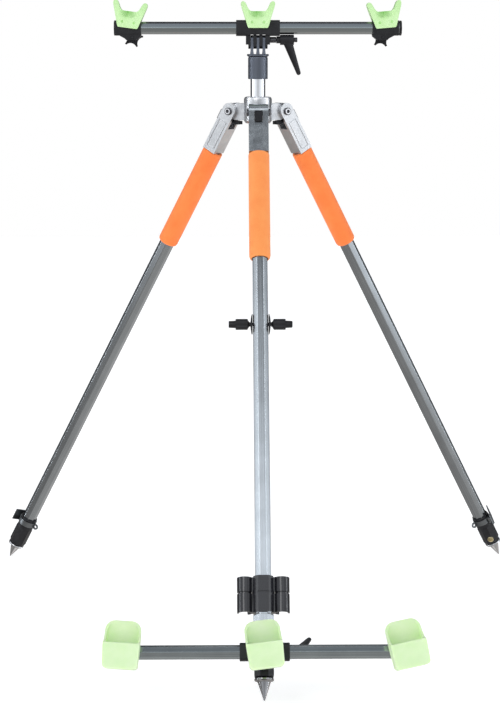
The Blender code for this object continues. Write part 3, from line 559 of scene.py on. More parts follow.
def v_rest():
    """A saddle over the bar: horns up, a skirt down each side. Its frame is the trunnions' axis."""
    dz = -REST_PIN_Z
    half = [
        (0.0, 0.0298),
        (0.0065, 0.0298),
        (0.0125, 0.0300),
        (0.0158, 0.0320),
        (0.0183, 0.0358),
        (0.0204, 0.0408),
        (0.0225, 0.0450),
        (0.0252, 0.0472),
        (0.0282, 0.0475),
        (0.0303, 0.0455),
        (0.0308, 0.0418),
        (0.0292, 0.0360),
        (0.0266, 0.0280),
        (0.0226, 0.0150),
        (0.0190, 0.0030),
        (0.0172, 0.0),
    ]
    outline = [(x, z + dz) for x, z in half] + [(-x, z + dz) for x, z in reversed(half[1:])]
    ob = flat([outline], -0.0190, 0.0190, "XZ")
    for vert in ob.data.vertices:
        z = vert.co.z - dz
        if z > 0.030:
            vert.co.y *= 1.0 - 0.45 * (z - 0.030) / 0.018
        elif vert.co.x == 0.0 or z > 0.027:
            vert.co.y *= 0.98
    channel = 0.0142 + GAP
    roof = 0.0186
    cut(ob, box((-0.05, 0.05), (-channel, channel), (-0.02, roof + dz)))
    return cut(ob, rod((0, -0.0170, 0), (0, 0.0170, 0), 0.0033, segments=16))


def yoke():
    outline = arc((0, 0.0020), 0.0132, 200, 0, 14)
    outline = [(y - 0.0005, z) for y, z in outline]
    outline += [(0.0127, -0.0835), (-0.0140, -0.0835), (-0.0140, -0.0060)]
    ob = bevelled(flat([outline], -YOKE_HALF, YOKE_HALF, "YZ"), 0.0015, 1, 50)
    ob = joined(ob, rod((0, 0, -0.1180), (0, 0, -0.0820), 0.0114, segments=24))
    cut(ob, box((-SLOT_HALF, SLOT_HALF), (-0.0096, 0.03), (-0.0310, 0.03)))
    cut(ob, box((-0.0074, 0.0074), (-0.03, 0.0), (-0.0250, -0.0030)))
    for side in (-1, 1):
        panel = box(
            (side * (YOKE_HALF - 0.0012) - (0.01 if side < 0 else 0), side * (YOKE_HALF - 0.0012) + (0.01 if side > 0 else 0)),
            (-0.0088, 0.0080),
            (-0.0765, -0.0195),
            0.0020,
            2,
            "x",
        )
        core = box((-0.03, 0.03), (-0.0075, 0.0067), (-0.0752, -0.0208), 0.0012, 2, "x")
        cut(ob, cut(panel, core))
    cut(ob, box((-0.0070, 0.0070), (-0.03, -0.0130), (-0.0400, -0.0280), 0.0010, 1, "y"))
    cut(ob, rod((-0.03, 0, 0), (0.03, 0, 0), BOLT_R + GAP, segments=20))
    return cut(ob, rod((-0.0125, PAWL_Y, PAWL_Z), (0.0125, PAWL_Y, PAWL_Z), 0.0016, segments=12))


def pivot_bolt():
    half = YOKE_HALF + GAP
    ob = turned(
        [
            (0, half + 0.0032),
            (0.0060, half + 0.0032),
            (0.0068, half + 0.0024),
            (0.0068, half),
            (BOLT_R, half - 0.0002),
            (BOLT_R, -half + 0.0002),
            (0.0068, -half),
            (0.0068, -half - 0.0024),
            (0.0060, -half - 0.0032),
            (0, -half - 0.0032),
        ],
        28,
        "X",
    )
    for side in (-1, 1):
        socket = rod((side * half, 0, 0), (side * (half + 0.01), 0, 0), 0.0034, segments=6)
        cut(ob, socket)
    return ob


def angle_pawl():
    """Bent lever in the yoke's window: tab outside, toe under the hub's lug. Outline in (out, down)."""
    c, s = math.cos(math.radians(SPLAY)), math.sin(math.radians(SPLAY))

    def world(r, z):  # offsets from the pivot at rest, outward and up, to (out, down)
        return (r * c + z * s, r * s - z * c)

    n0, s0 = -PAWL_Y, -PAWL_Z
    eye = 0.0023
    toe = [
        world(-0.0105, -0.0176),
        world(-0.0162, -0.0176),
        world(-0.0162, -0.0240),
        world(-0.0085, -0.0240),
    ]
    outline = [
        (0.0202, 0.0258),
        (0.0202, 0.0085),
        (0.0180, 0.0052),
        (0.0150, 0.0042),
        (n0, s0 - eye),
        (n0 - 0.0016, s0 - 0.0017),
        (n0 - eye, s0),
        (0.0094, 0.0100),
        (0.0080, 0.0135),
        (-0.0120, 0.0135),
        toe[0],
        toe[1],
        toe[2],
        toe[3],
        (-0.0100, 0.0170),
        (0.0095, 0.0170),
        (0.0118, 0.0145),
        (0.0128, 0.0090),
        (0.0148, 0.0066),
        (0.0172, 0.0076),
        (0.0182, 0.0098),
        (0.0182, 0.0258),
    ]
    ob = flat([[(-n, -d) for n, d in outline]], -0.0068, 0.0068, "YZ")
    return joined(ob, rod((-0.0122, PAWL_Y, PAWL_Z), (0.0122, PAWL_Y, PAWL_Z), 0.0013, segments=12))


def grip():
    ob = turned(
        [
            (0.0144, GRIP_TOP),
            (0.0174, GRIP_TOP),
            (GRIP_R, GRIP_TOP - 0.0014),
            (GRIP_R, GRIP_END + 0.0060),
            (0.0178, GRIP_END + 0.0024),
            (0.0160, GRIP_END + 0.0004),
            (0.0144, GRIP_END),
            (0.0144, GRIP_TOP),
        ],
        36,
    )
    return ob


def octagon_tube(across, bore, top, end):
    return flat([octagon(across), octagon(bore)], end, top, "XY")


def clamp_body():
    ob = rod((0, 0, BODY_MID - 0.002), (0, 0, BODY_TOP), 0.0162, segments=32)
    lower = flat([octagon(0.0314)], BODY_END, BODY_MID, "XY")
    lower = bevelled(lower, 0.0045, 2, 60)
    ob = joined(lower, ob)
    cut(ob, flat([octagon(TUBE_AF + 2 * GAP)], -0.9850, -0.94, "XY"))
    cut(ob, flat([octagon(INNER_AF + 2 * GAP)], -1.05, -0.98, "XY"))
    for angle in (0, 45, 90, 135):
        slit = box((-0.03, 0.03), (-0.0007, 0.0007), (BODY_TOP - 0.0085, -0.93))
        cut(ob, moved(slit, turn_z(angle + 22.5)))
    return ob


def clamp_band():
    low, high = BAND_Z - BAND_HALF, BAND_Z + BAND_HALF
    ob = flat([circle((0, 0), 0.0175, 40), circle((0, 0), 0.0165, 40)], low, high, "XY")
    eye = flat(
        [
            [(0.0172, BAND_Z - 0.0054), (0.0172, BAND_Z + 0.0054)]
            + arc((0.0212, BAND_Z), 0.0060, 90, -90, 10)
        ],
        -0.0010,
        0.0010,
        "YZ",
    )
    ob = joined(ob, eye)
    cut(ob, rod((-0.01, 0.0214, BAND_Z), (0.01, 0.0214, BAND_Z), 0.0026, segments=14))
    for z0, z1 in ((low, low + 0.0020), (high - 0.0020, high)):
        ear = flat([[(-0.0026, -0.0172), (0.0026, -0.0172)] + arc((0, -0.0208), 0.0026, 0, -180, 8)], z0, z1, "XY")
        moved(ear, turn_z(-80))
        boolean(ob, ear, "UNION")
    pin = rod((0, -0.0208, low - 0.001), (0, -0.0208, high + 0.001), 0.0016, segments=12)
    return cut(ob, moved(pin, turn_z(-80)))


def clamp_lever():
    """Plate laid against the band, turning on a pin that is parallel to the leg."""
    low, high = BAND_Z - BAND_HALF, BAND_Z + BAND_HALF
    knuckle = Vector((0.0208 * math.cos(math.radians(50)), -0.0208 * math.sin(math.radians(50))))

    def xy(radial, along):  # radial at -30 degrees round the leg, along at +60
        return (
            radial * math.sin(math.radians(-30)) + along * math.sin(math.radians(60)),
            -radial * math.cos(math.radians(-30)) - along * math.cos(math.radians(60)),
        )

    plate = [
        xy(r, t)
        for r, t in (
            (0.0188, 0.0225),
            (0.0200, 0.0235),
            (0.0212, 0.0225),
            (0.0212, -0.0120),
            (0.0196, -0.0158),
            (0.0172, -0.0180),
            (0.0172, -0.0150),
            (0.0188, -0.0112),
        )
    ]
    plate = flat([plate], BAND_Z - 0.0130, BAND_Z + 0.0108, "XY")
    web = [
        xy(r, t)
        for r, t in (
            (0.0185, -0.0120),
            (0.0185, -0.0172),
            (knuckle.x + 0.0010, knuckle.y - 0.0024),
            (knuckle.x - 0.0016, knuckle.y - 0.0018),
            (knuckle.x - 0.0024, knuckle.y),
            (knuckle.x - 0.0012, knuckle.y + 0.0021),
            (knuckle.x + 0.0014, knuckle.y + 0.0024),
        )
    ]
    web = flat([web], low + 0.0023, high - 0.0023, "XY")
    centre = xy(knuckle.x, knuckle.y)
    pin = rod((*centre, low), (*centre, high), 0.0013, segments=12)
    return joined(plate, web, pin)


def spike():
    foot = -LEG_LEN
    return turned(
        [
            (0, -0.9950),
            (0.0083, -0.9950),
            (0.0089, -0.9958),
            (0.0089, -1.0152),
            (0.0150, -1.0154),
            (0.0158, -1.0166),
            (0.0158, -1.0192),
            (0.0128, -1.0200),
            (0.0106, -1.0216),
            (TIP_R, foot + 0.0004),
            (TIP_R * 0.9, foot),
            (0, foot),
        ],
        28,
    )


def saddle_washer():
    """A bowed plate against the +X side of the tube."""
    out = [(0.0138, 0.0160), (0.0150, 0.0164), (0.0164, 0.0110), (0.0176, 0.0)]
    out += [(0.0164, -0.0110), (0.0150, -0.0164), (0.0138, -0.0160)]
    ob = flat([out], -0.0075, 0.0075, "XZ")
    return cut(ob, rod((0.01, 0, 0), (0.02, 0, 0), 0.0034, segments=16))


def thumb_knob():
    """On +X: a thin neck, a lobed grip and a narrower end."""
    body = turned(
        [(0, 0.0547), (0.0050, 0.0547), (0.0058, 0.0539), (0.0064, 0.0432), (0.0064, 0.0380), (0, 0.0380)],
        24,
        "X",
    )
    grip_part = flat([star(6, 0.0094, 0.0082, 0.6, 3)], 0.0222, 0.0428, "YZ")
    neck = turned([(0, 0.0226), (0.0078, 0.0226), (0.0078, 0.0218), (0.0040, 0.0196), (0.0040, 0.0180), (0, 0.0180)], 24, "X")
    return joined(body, grip_part, neck)


def leg_clip():
    """A ring on the leg tube with a spring clip on each side, in two rows."""
    a, b = 0.0163, 0.0085
    outer = [(b, -a), (a, -b), (a, b), (b, a), (-b, a), (-a, b), (-a, -b), (-b, -a)]
    ring = flat([outer], -0.9100, -0.8500, "XY")
    for side in (-1, 1):
        opening = 90 - 25 * side  # the way the clip opens, backwards and a little outwards
        clip = arc((side * 0.0300, 0), 0.0128, opening + 50, opening + 310, 18)
        clip += arc((side * 0.0300, 0), 0.0098, opening + 310, opening + 50, 18)
        boolean(ring, flat([clip], -0.9095, -0.8515, "XY"), "UNION")
        web = box(sorted((side * 0.0140, side * 0.0190)), (-0.0060, 0.0060), (-0.9095, -0.8515))
        boolean(ring, web, "UNION")
        cut(ring, rod((side * 0.0300, 0, -0.95), (side * 0.0300, 0, -0.80), 0.0098, segments=24))
        groove = turned([(0.0106, -0.8787), (0.0150, -0.8787), (0.0150, -0.8759), (0.0106, -0.8759), (0.0106, -0.8787)], 24)
        cut(ring, moved(groove, Matrix.Translation((side * 0.0300, 0, 0))))
    cut(ring, box((-0.0200, 0.0200), (-0.03, -0.0148), (-0.8785, -0.8761)))
    return cut(ring, flat([octagon(TUBE_AF + 2 * GAP)], -0.95, -0.80, "XY"))


def carriage_sleeve():
    ob = flat([octagon(0.0334)], CARRIAGE_END, CARRIAGE_TOP, "XY")
    ob = bevelled(ob, 0.0006, 1, 60)
    n, s = BUTT_N, BUTT_S
    outline = [
        (-0.0150, -0.9300),
        (-0.0230, -0.9300),
        (-n - 0.0085, -0.9600),
    ]
    outline += arc((-n, -s), 0.0085, 180, 360, 10)
    outline += [(-n + 0.0085, -0.9570), (-0.0190, -0.9440), (-0.0150, -0.9440)]
    for x in (-FINGER_X, 0.0, FINGER_X):
        boolean(ob, finger(outline, x), "UNION")
    ob = joined(ob, rod((0, 0.0150, -0.930), (0, 0.0205, -0.930), 0.0065, segments=20))
    cut(ob, flat([octagon(TUBE_AF + 2 * GAP)], -1.0, -0.85, "XY"))
    cut(ob, rod((0, 0, -0.930), (0, 0.04, -0.930), 0.0028, segments=16))
    return cut(ob, rod((-0.03, -n, -s), (0.03, -n, -s), 0.0033, segments=16))


def carriage_knob():
    """Fluted knob behind the sleeve, with its screw on the tube."""
    head = flat([star(8, 0.0107, 0.0099, 0.6, 2)], 0.0209, 0.0320, "XZ")
    return joined(head, rod((0, 0.0133, 0), (0, 0.0220, 0), 0.0025, segments=16))


def cup():
    """A scoop: low front wall, high back wall with a hole for its stud. In the bar's frame."""
    outline = [
        (-0.0268, -0.0270),
        (0.0268, -0.0270),
        (0.0284, 0.0060),
        (0.0282, 0.0490),
        (-0.0282, 0.0490),
        (-0.0284, 0.0060),
    ]
    radii = [0.0060, 0.0060, 0.0200, 0.0150, 0.0150, 0.0200]
    ob = flat([rounded(outline, radii, 4)], CUP_BACK, CUP_BACK + 0.0455, "XY")
    inner = [
        (-0.0238, -0.0240),
        (0.0238, -0.0240),
        (0.0254, 0.0060),
        (0.0251, 0.0345),
        (0.0172, 0.0460),
        (0.0172, 0.0700),
        (-0.0172, 0.0700),
        (-0.0172, 0.0460),
        (-0.0251, 0.0345),
        (-0.0254, 0.0060),
    ]
    radii = [0.0040, 0.0040, 0.0100, 0.0060, 0.0020, 0, 0, 0.0020, 0.0060, 0.0100]
    inner = flat([rounded(inner, radii, 3)], CUP_BACK + 0.0030, CUP_BACK + 0.0425, "XY")
    cut(ob, inner)
    z = CUP_BACK
    scoop = [
        (0.0125, z + 0.0600),
        (0.0125, z + 0.0455),
        (0.0132, z + 0.0370),
        (0.0168, z + 0.0270),
        (0.0240, z + 0.0170),
        (0.0345, z + 0.0085),
        (0.0430, z + 0.0030),
        (0.0700, z + 0.0030),
        (0.0700, z + 0.0600),
    ]
    cut(ob, flat([scoop], -0.05, 0.05, "YZ"))
    return cut(ob, rod((0, 0, 0.0), (0, 0, CUP_BACK + 0.0027), 0.0043, segments=20))


def cup_stud(front):
    """Boss and stud that the cup turns on; front is the face that carries them."""
    boss = rod((0, 0, front - 0.0015), (0, 0, CUP_BACK - GAP), 0.0090, segments=24)
    return [boss, rod((0, 0, front - 0.0020), (0, 0, CUP_BACK + 0.0024), 0.0040, segments=20)]


def cup_slider():
    t = 0.0130
    outer = rounded([(-t, -t), (t, -t), (t, t), (-t, t)], 0.0040, 2)
    ob = bevelled(flat([outer], -0.0237, 0.0237, "YZ"), 0.0008)
    ob = joined(ob, *cup_stud(t))
    return cut(ob, flat([octagon(BAR_AF + 2 * GAP, 0)], -0.05, 0.05, "YZ"))


# ---------------------------------------------------------------------------
# Materials
# ---------------------------------------------------------------------------
class Nodes:
    """A small helper for node trees: each call adds a node and gives back its output."""

    def __init__(self, name):
        self.mat = bpy.data.materials.new(name)
        self.mat.use_nodes = True
        self.tree = self.mat.node_tree
        self.shader = self.tree.nodes["Principled BSDF"]

    def add(self, kind, **values):
        node = self.tree.nodes.new(kind)
        for key, value in values.items():
            if hasattr(node, key):
                setattr(node, key, value)
        return node

    def link(self, a, b):
        self.tree.links.new(a, b)

    def coords(self, scale=(1, 1, 1), rotation=(0, 0, 0)):
        texture = self.add("ShaderNodeTexCoord")
        mapping = self.add("ShaderNodeMapping")
        mapping.inputs["Scale"].default_value = scale
        mapping.inputs["Rotation"].default_value = rotation
        self.link(texture.outputs["Object"], mapping.inputs["Vector"])
        return mapping.outputs["Vector"]

    def noise(self, vector, scale, detail=3.0, roughness=0.5, distortion=0.0):
        node = self.add("ShaderNodeTexNoise")
        node.inputs["Scale"].default_value = scale
        node.inputs["Detail"].default_value = detail
        node.inputs["Roughness"].default_value = roughness
        node.inputs["Distortion"].default_value = distortion
        self.link(vector, node.inputs["Vector"])
        return node.outputs["Fac"]

    def voronoi(self, vector, scale, feature="F1"):
        node = self.add("ShaderNodeTexVoronoi")
        node.feature = feature
        node.inputs["Scale"].default_value = scale
        self.link(vector, node.inputs["Vector"])
        return node.outputs["Distance"]

    def spread(self, value, low, high, frm=(0.3, 0.7)):
        node = self.add("ShaderNodeMapRange")
        node.inputs["From Min"].default_value = frm[0]
        node.inputs["From Max"].default_value = frm[1]
        node.inputs["To Min"].default_value = low
        node.inputs["To Max"].default_value = high
        self.link(value, node.inputs["Value"])
        return node.outputs["Result"]

    def ramp(self, value, stops):
        node = self.add("ShaderNodeValToRGB")
        ramp = node.color_ramp
        while len(ramp.elements) > 1:
            ramp.elements.remove(ramp.elements[-1])
        ramp.elements[0].position = stops[0][0]
        ramp.elements[0].color = (*stops[0][1], 1.0)
        for position, color in stops[1:]:
            ramp.elements.new(position).color = (*color, 1.0)
        self.link(value, node.inputs["Fac"])
        return node.outputs["Color"]

    def math(self, operation, a, b):
        node = self.add("ShaderNodeMath")
        node.operation = operation
        for i, value in enumerate((a, b)):
            if isinstance(value, (int, float)):
                node.inputs[i].default_value = value
            else:
                self.link(value, node.inputs[i])
        return node.outputs["Value"]

    def bump(self, height, strength, distance):
        node = self.add("ShaderNodeBump")
        node.inputs["Strength"].default_value = strength
        node.inputs["Distance"].default_value = distance
        self.link(height, node.inputs["Height"])
        self.link(node.outputs["Normal"], self.shader.inputs["Normal"])

    def set(self, **values):
        for key, value in values.items():
            socket = self.shader.inputs[key.replace("_", " ")]
            if hasattr(value, "links") or hasattr(value, "is_output"):
                self.link(value, socket)
            else:
                socket.default_value = value


def cast_alloy(name="cast alloy", tones=((0.42, 0.43, 0.45), (0.60, 0.61, 0.63), (0.78, 0.78, 0.80)), rough=(0.24, 0.44)):
    n = Nodes(name)
    v = n.coords()
    patches = n.noise(v, 38.0, 4.0, 0.6, 0.4)
    grain = n.noise(v, 900.0, 3.0, 0.6)
    n.set(
        Metallic=1.0,
        Base_Color=n.ramp(
            patches,
            list(zip((0.30, 0.5, 0.72), tones)),
        ),
        Roughness=n.spread(n.noise(v, 60.0, 4.0), *rough),
    )
    n.bump(n.math("ADD", grain, n.math("MULTIPLY", patches, 0.8)), 0.35, 0.00025)
    return n.mat


def anodised(name, streak, color, rough=(0.22, 0.38)):
    """Extruded tube with fine die lines along its length; streak scales them."""
    n = Nodes(name)
    v = n.coords(scale=streak)
    lines = n.noise(v, 1.0, 4.0, 0.65)
    cloud = n.noise(n.coords(), 22.0, 3.0)
    dark = tuple(c * 0.84 for c in color)
    light = tuple(min(1.0, c * 1.16) for c in color)
    n.set(
        Metallic=1.0,
        Base_Color=n.ramp(n.math("ADD", n.math("MULTIPLY", lines, 0.7), n.math("MULTIPLY", cloud, 0.3)),
                          [(0.36, dark), (0.5, color), (0.64, light)]),
        Roughness=n.spread(lines, *rough),
    )
    n.bump(lines, 0.08, 0.00010)
    return n.mat


def bar_with_painted_light():
    """The upper bar: its base colour painted by height, a paler lower half as painted light, a darker upper half as
    painted shade, and a painted highlight line along the middle.
    """
    n = Nodes("gunmetal upper bar, painted light and shade")
    lines = n.noise(n.coords(scale=(5.0, 1500.0, 1500.0)), 1.0, 4.0, 0.65)
    split = n.add("ShaderNodeSeparateXYZ")
    n.link(n.coords(), split.inputs["Vector"])
    height = n.math("ADD", split.outputs["Z"], n.math("MULTIPLY", n.math("SUBTRACT", lines, 0.5), 0.0016))
    n.set(
        Metallic=1.0,
        # Painted light and shade by height: pale below, a painted highlight at the middle, dark above, a little lighter
        # again at the very top.
        Base_Color=n.ramp(
            n.spread(height, 0.0, 1.0, (-0.0125, 0.0125)),
            [(0.0, (0.42, 0.44, 0.45)), (0.30, (0.30, 0.33, 0.34)), (0.42, (0.27, 0.30, 0.31)), (0.50, (0.34, 0.38, 0.39)),
             (0.56, (0.145, 0.165, 0.175)), (0.75, (0.135, 0.15, 0.165)), (1.0, (0.30, 0.31, 0.33))],
        ),
        Roughness=n.spread(lines, 0.12, 0.22),
    )
    n.bump(lines, 0.12, 0.0001)
    return n.mat


def bolt_steel():
    """Bright ring round a socket painted near black as painted shade in the recess, on a dark washer face. The bolt
    lies along X.
    """
    n = Nodes("pivot bolt steel")
    split = n.add("ShaderNodeSeparateXYZ")
    n.link(n.coords(), split.inputs["Vector"])
    y, z = split.outputs["Y"], split.outputs["Z"]
    radius = n.math("SQRT", n.math("ADD", n.math("MULTIPLY", y, y), n.math("MULTIPLY", z, z)), 0.0)
    smudge = n.noise(n.coords(), 300.0, 3.0, 0.6)
    n.set(
        Metallic=1.0,
        Base_Color=n.ramp(
            n.spread(n.math("ADD", radius, n.math("MULTIPLY", smudge, 0.0004)), 0.0, 1.0, (0.0, 0.0080)),
            # Inside the socket's radius the steel is painted near black: painted shade in the recess.
            [(0.0, (0.10, 0.10, 0.11)), (0.40, (0.12, 0.12, 0.13)), (0.47, (0.80, 0.80, 0.82)), (0.64, (0.72, 0.72, 0.74)),
             (0.72, (0.13, 0.13, 0.14)), (1.0, (0.10, 0.10, 0.11))],
        ),
        Roughness=n.spread(smudge, 0.18, 0.34),
    )
    n.bump(smudge, 0.15, 0.00005)
    return n.mat


def plastic(name, color, rough=(0.34, 0.52), grain=2200.0, depth=0.00006, coat=0.0, specular=0.36):
    n = Nodes(name)
    v = n.coords()
    texture = n.noise(v, grain, 2.0, 0.6)
    wear = n.noise(v, 45.0, 5.0, 0.65)
    lighter = tuple(c * 1.7 + 0.004 for c in color)
    n.set(
        Base_Color=n.ramp(wear, [(0.35, color), (0.7, lighter)]),
        Roughness=n.spread(wear, *rough),
        Specular_IOR_Level=specular,
        Coat_Weight=coat,
        Coat_Roughness=0.09,
    )
    n.bump(texture, 0.5, depth)
    return n.mat


def polished(name, color, rough, streak=(60.0, 60.0, 2500.0), relief=0.12):
    n = Nodes(name)
    lines = n.noise(n.coords(scale=streak), 1.0, 2.0)
    smudge = n.noise(n.coords(), 55.0, 4.0, 0.6)
    n.set(
        Metallic=1.0,
        Base_Color=n.ramp(smudge, [(0.3, tuple(c * 0.88 for c in color)), (0.7, color)]),
        Roughness=n.spread(n.math("ADD", n.math("MULTIPLY", lines, 0.5), n.math("MULTIPLY", smudge, 0.5)), *rough),
    )
    n.bump(lines, relief, 0.00003)
    return n.mat


def foam(name="orange foam", tones=((0.92, 0.195, 0.036), (1.0, 0.235, 0.048), (1.0, 0.27, 0.062))):
    n = Nodes(name)
    v = n.coords()
    cells = n.voronoi(v, 1400.0)
    tone = n.noise(v, 26.0, 4.0, 0.6)
    fine = n.noise(v, 700.0, 3.0, 0.7)
    n.set(
        Base_Color=n.ramp(
            n.math("ADD", n.math("MULTIPLY", tone, 0.5), n.math("MULTIPLY", fine, 0.5)),
            list(zip((0.34, 0.5, 0.66), tones)),
        ),
        Roughness=n.spread(fine, 0.72, 0.92),
        Sheen_Weight=0.15,
        Sheen_Roughness=0.5,
    )
    n.bump(n.math("ADD", cells, n.math("MULTIPLY", fine, 0.6)), 0.45, 0.00025)
    return n.mat


def green_plastic(name="pale green plastic", crease=False):
    n = Nodes(name)
    v = n.coords()
    cloud = n.noise(v, 40.0, 4.0, 0.55)
    fine = n.noise(v, 300.0, 2.0)
    tones = ((0.50, 0.78, 0.34), (0.55, 0.81, 0.39), (0.60, 0.84, 0.45)) if crease else ((0.62, 0.86, 0.46), (0.66, 0.88, 0.50), (0.70, 0.90, 0.55))
    pale = n.ramp(cloud, list(zip((0.3, 0.5, 0.72), tones)))
    if crease:
        # Painted shade: round the crease in the middle of the rest the colour is blended towards deep green; the horns
        # keep the paler tones.
        split = n.add("ShaderNodeSeparateXYZ")
        n.link(v, split.inputs["Vector"])
        across = n.spread(n.math("ABSOLUTE", n.math("ADD", split.outputs["X"], 0.003), 0.0), 1.0, 0.0, (0.0, 0.0160))
        height = n.spread(n.math("ABSOLUTE", n.math("SUBTRACT", split.outputs["Z"], 0.0245), 0.0), 1.0, 0.0, (0.0, 0.0140))
        # depth here is the strength of the painted crease shade
        depth = n.math("MULTIPLY", across, height)
        blend = n.add("ShaderNodeMix", data_type="RGBA")
        n.link(depth, blend.inputs[0])
        n.link(pale, blend.inputs[6])
        blend.inputs[7].default_value = (0.13, 0.44, 0.04, 1.0)
        pale = blend.outputs[2]
    n.set(
        Base_Color=pale,
        Roughness=n.spread(cloud, 0.34, 0.48),
        Subsurface_Weight=0.0 if crease else 0.6,
        Subsurface_Radius=(0.8, 1.0, 0.55),
        Subsurface_Scale=0.006 if crease else 0.012,
        Coat_Weight=0.08,
        Coat_Roughness=0.3,
        # Emission: a faint painted glow that lifts the green plastic's brightness.
        Emission_Color=(0.62, 0.90, 0.46, 1.0) if crease else (0.74, 0.93, 0.62, 1.0),
        Emission_Strength=0.06,
    )
    n.bump(fine, 0.10, 0.00008)
    return n.mat


M = {
    "cast": cast_alloy(),
    "yoke": cast_alloy("cast yoke", ((0.62, 0.63, 0.65), (0.71, 0.72, 0.74), (0.78, 0.78, 0.80)), (0.32, 0.44)),
    # The front leg's yoke: the same cast alloy in darker tones, as painted shade.
    "yoke_front": cast_alloy("cast front yoke, painted shade", ((0.30, 0.32, 0.345), (0.42, 0.45, 0.48), (0.56, 0.59, 0.62)), (0.18, 0.30)),
    "bolt": bolt_steel(),
    "spike": polished("turned spike", (0.62, 0.62, 0.64), (0.16, 0.26), relief=0.04),
    # The front leg's spike: the same turned steel painted darker, as painted shade and dark reflections.
    "spike_front": polished("spike with painted dark reflections", (0.34, 0.34, 0.35), (0.12, 0.20), relief=0.04),
    "foam_front": foam("orange foam in the light", ((0.96, 0.27, 0.062), (1.0, 0.32, 0.080), (1.0, 0.36, 0.098))),
    "tube_top": bar_with_painted_light(),
    "tube_z": anodised("gunmetal leg tube", (1500.0, 1500.0, 5.0), (0.385, 0.41, 0.435), (0.12, 0.22)),
    "tube_x": anodised("gunmetal bar", (5.0, 1500.0, 1500.0), (0.325, 0.365, 0.385), (0.12, 0.22)),
    "inner": anodised("lower tube metal", (1500.0, 1500.0, 5.0), (0.42, 0.44, 0.46)),
    "collar": anodised("brushed collar", (1300.0, 1300.0, 8.0), (0.15, 0.165, 0.20), (0.42, 0.55)),
    "plastic": plastic("black plastic", (0.0075, 0.0075, 0.0095)),
    "plastic_gloss": plastic("black moulded plastic", (0.007, 0.007, 0.010), (0.10, 0.16), 1500.0, 0.00001, 0.0, 0.5),
    "steel": polished("plated steel", (0.62, 0.62, 0.64), (0.16, 0.30)),
    "chrome": polished("chromed steel", (0.86, 0.87, 0.90), (0.03, 0.09)),
    "black_steel": polished("blackened steel", (0.10, 0.10, 0.11), (0.25, 0.42)),
    "band": anodised("plated band", (9.0, 9.0, 900.0), (0.22, 0.235, 0.25), (0.28, 0.42)),
    "lever": anodised("stamped lever", (9.0, 9.0, 900.0), (0.17, 0.18, 0.19), (0.34, 0.5)),
    "brass": polished("yellow plated screw", (0.72, 0.62, 0.38), (0.2, 0.34)),
    "foam": foam(),
    "green": green_plastic(),
    "green_rest": green_plastic("pale green rest plastic", True),
}
# ---------------------------------------------------------------------------
# Frames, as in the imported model
# ---------------------------------------------------------------------------
def at(parent, loc=(0, 0, 0), rot=(0, 0, 0)):
    turn = Euler([math.radians(a) for a in rot]).to_matrix().to_4x4()
    return parent @ Matrix.Translation(loc) @ turn


ROOT = Matrix.Translation((SHIFT[0], SHIFT[1], 0.0))
LEG = {}
for side, azimuth in AZIMUTH.items():
    a = math.radians(azimuth)
    LEG[side] = at(
        ROOT, (PIVOT_R * math.cos(a), PIVOT_R * math.sin(a), PIVOT_Z), (-SPLAY, 0.0, azimuth + 90.0)
    )
HEAD = at(ROOT, (0, 0, HINGE_Z))
BUTT = at(LEG["front"], (0, -BUTT_N, -BUTT_S), (90.0 - CUP_TILT + SPLAY, 0.0, 0.0))
BAR = at(HEAD, (0, 0, BAR_UP))
LOWER = at(BUTT, (0, 0, BAR_UP))
FRONT = LEG["front"]


def softened(ob, width, segments=2, angle=32.0):
    """Small rounded edges, with the normals kept flat on the faces between them."""
    if width:
        mod = ob.modifiers.new("bevel", "BEVEL")
        mod.width = width
        mod.segments = segments
        mod.limit_method = "ANGLE"
        mod.angle_limit = math.radians(angle)
        mod.use_clamp_overlap = True
        mod.miter_outer = "MITER_ARC"
    mesh = applied(ob).data
    mesh.shade_smooth()
    mesh.set_sharp_from_angle(angle=math.radians(45))
    mod = ob.modifiers.new("normals", "WEIGHTED_NORMAL")
    mod.keep_sharp = True
    mod.weight = 80
    graph = bpy.context.evaluated_depsgraph_get()
    mesh = bpy.data.meshes.new_from_object(ob.evaluated_get(graph))
    ob.modifiers.clear()
    ob.data = mesh
    return ob


def piece(ob, name, matrix, body, look, slot, *nodes):
    ob.name = "v_" + name
    ob.data.name = "v_" + name
    ob.data.materials.clear()
    ob.data.materials.append(M[look])
    ob.matrix_world = matrix
    if nodes:
        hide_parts(*nodes)
    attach(ob, body)
    return ob


def again(ob, name, matrix, body, slot, *nodes):
    """The same mesh once more, elsewhere."""
    new = bpy.data.objects.new("v_" + name, ob.data)
    bpy.context.scene.collection.objects.link(new)
    new.matrix_world = matrix
    if nodes:
        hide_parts(*nodes)
    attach(new, body)
    return new


def egg(centre, radii, turn=0.0):
    """Ellipsoid that hollows a face out."""
    ob = ball((0, 0, 0), 1.0, 40, 20)
    grow = Matrix.Diagonal((*radii, 1.0))
    turn = Matrix.Rotation(math.radians(turn), 4, "Y")
    return moved(ob, Matrix.Translation(centre) @ turn @ grow)


def hollowed(ob):
    """The rest's faces: scooped out on either side of a crease, with two small dimples below."""
    for face in (-1, 1):
        for side in (-1, 1):
            cut(ob, egg((side * 0.0076, face * 0.0232, 0.0290), (0.0106, 0.0098, 0.0160), side * 14))
            cut(ob, rod((side * 0.0108, face * 0.0200, 0.0060), (side * 0.0104, face * 0.0164, 0.0070), 0.0028, 0.0016, segments=16))
    return ob


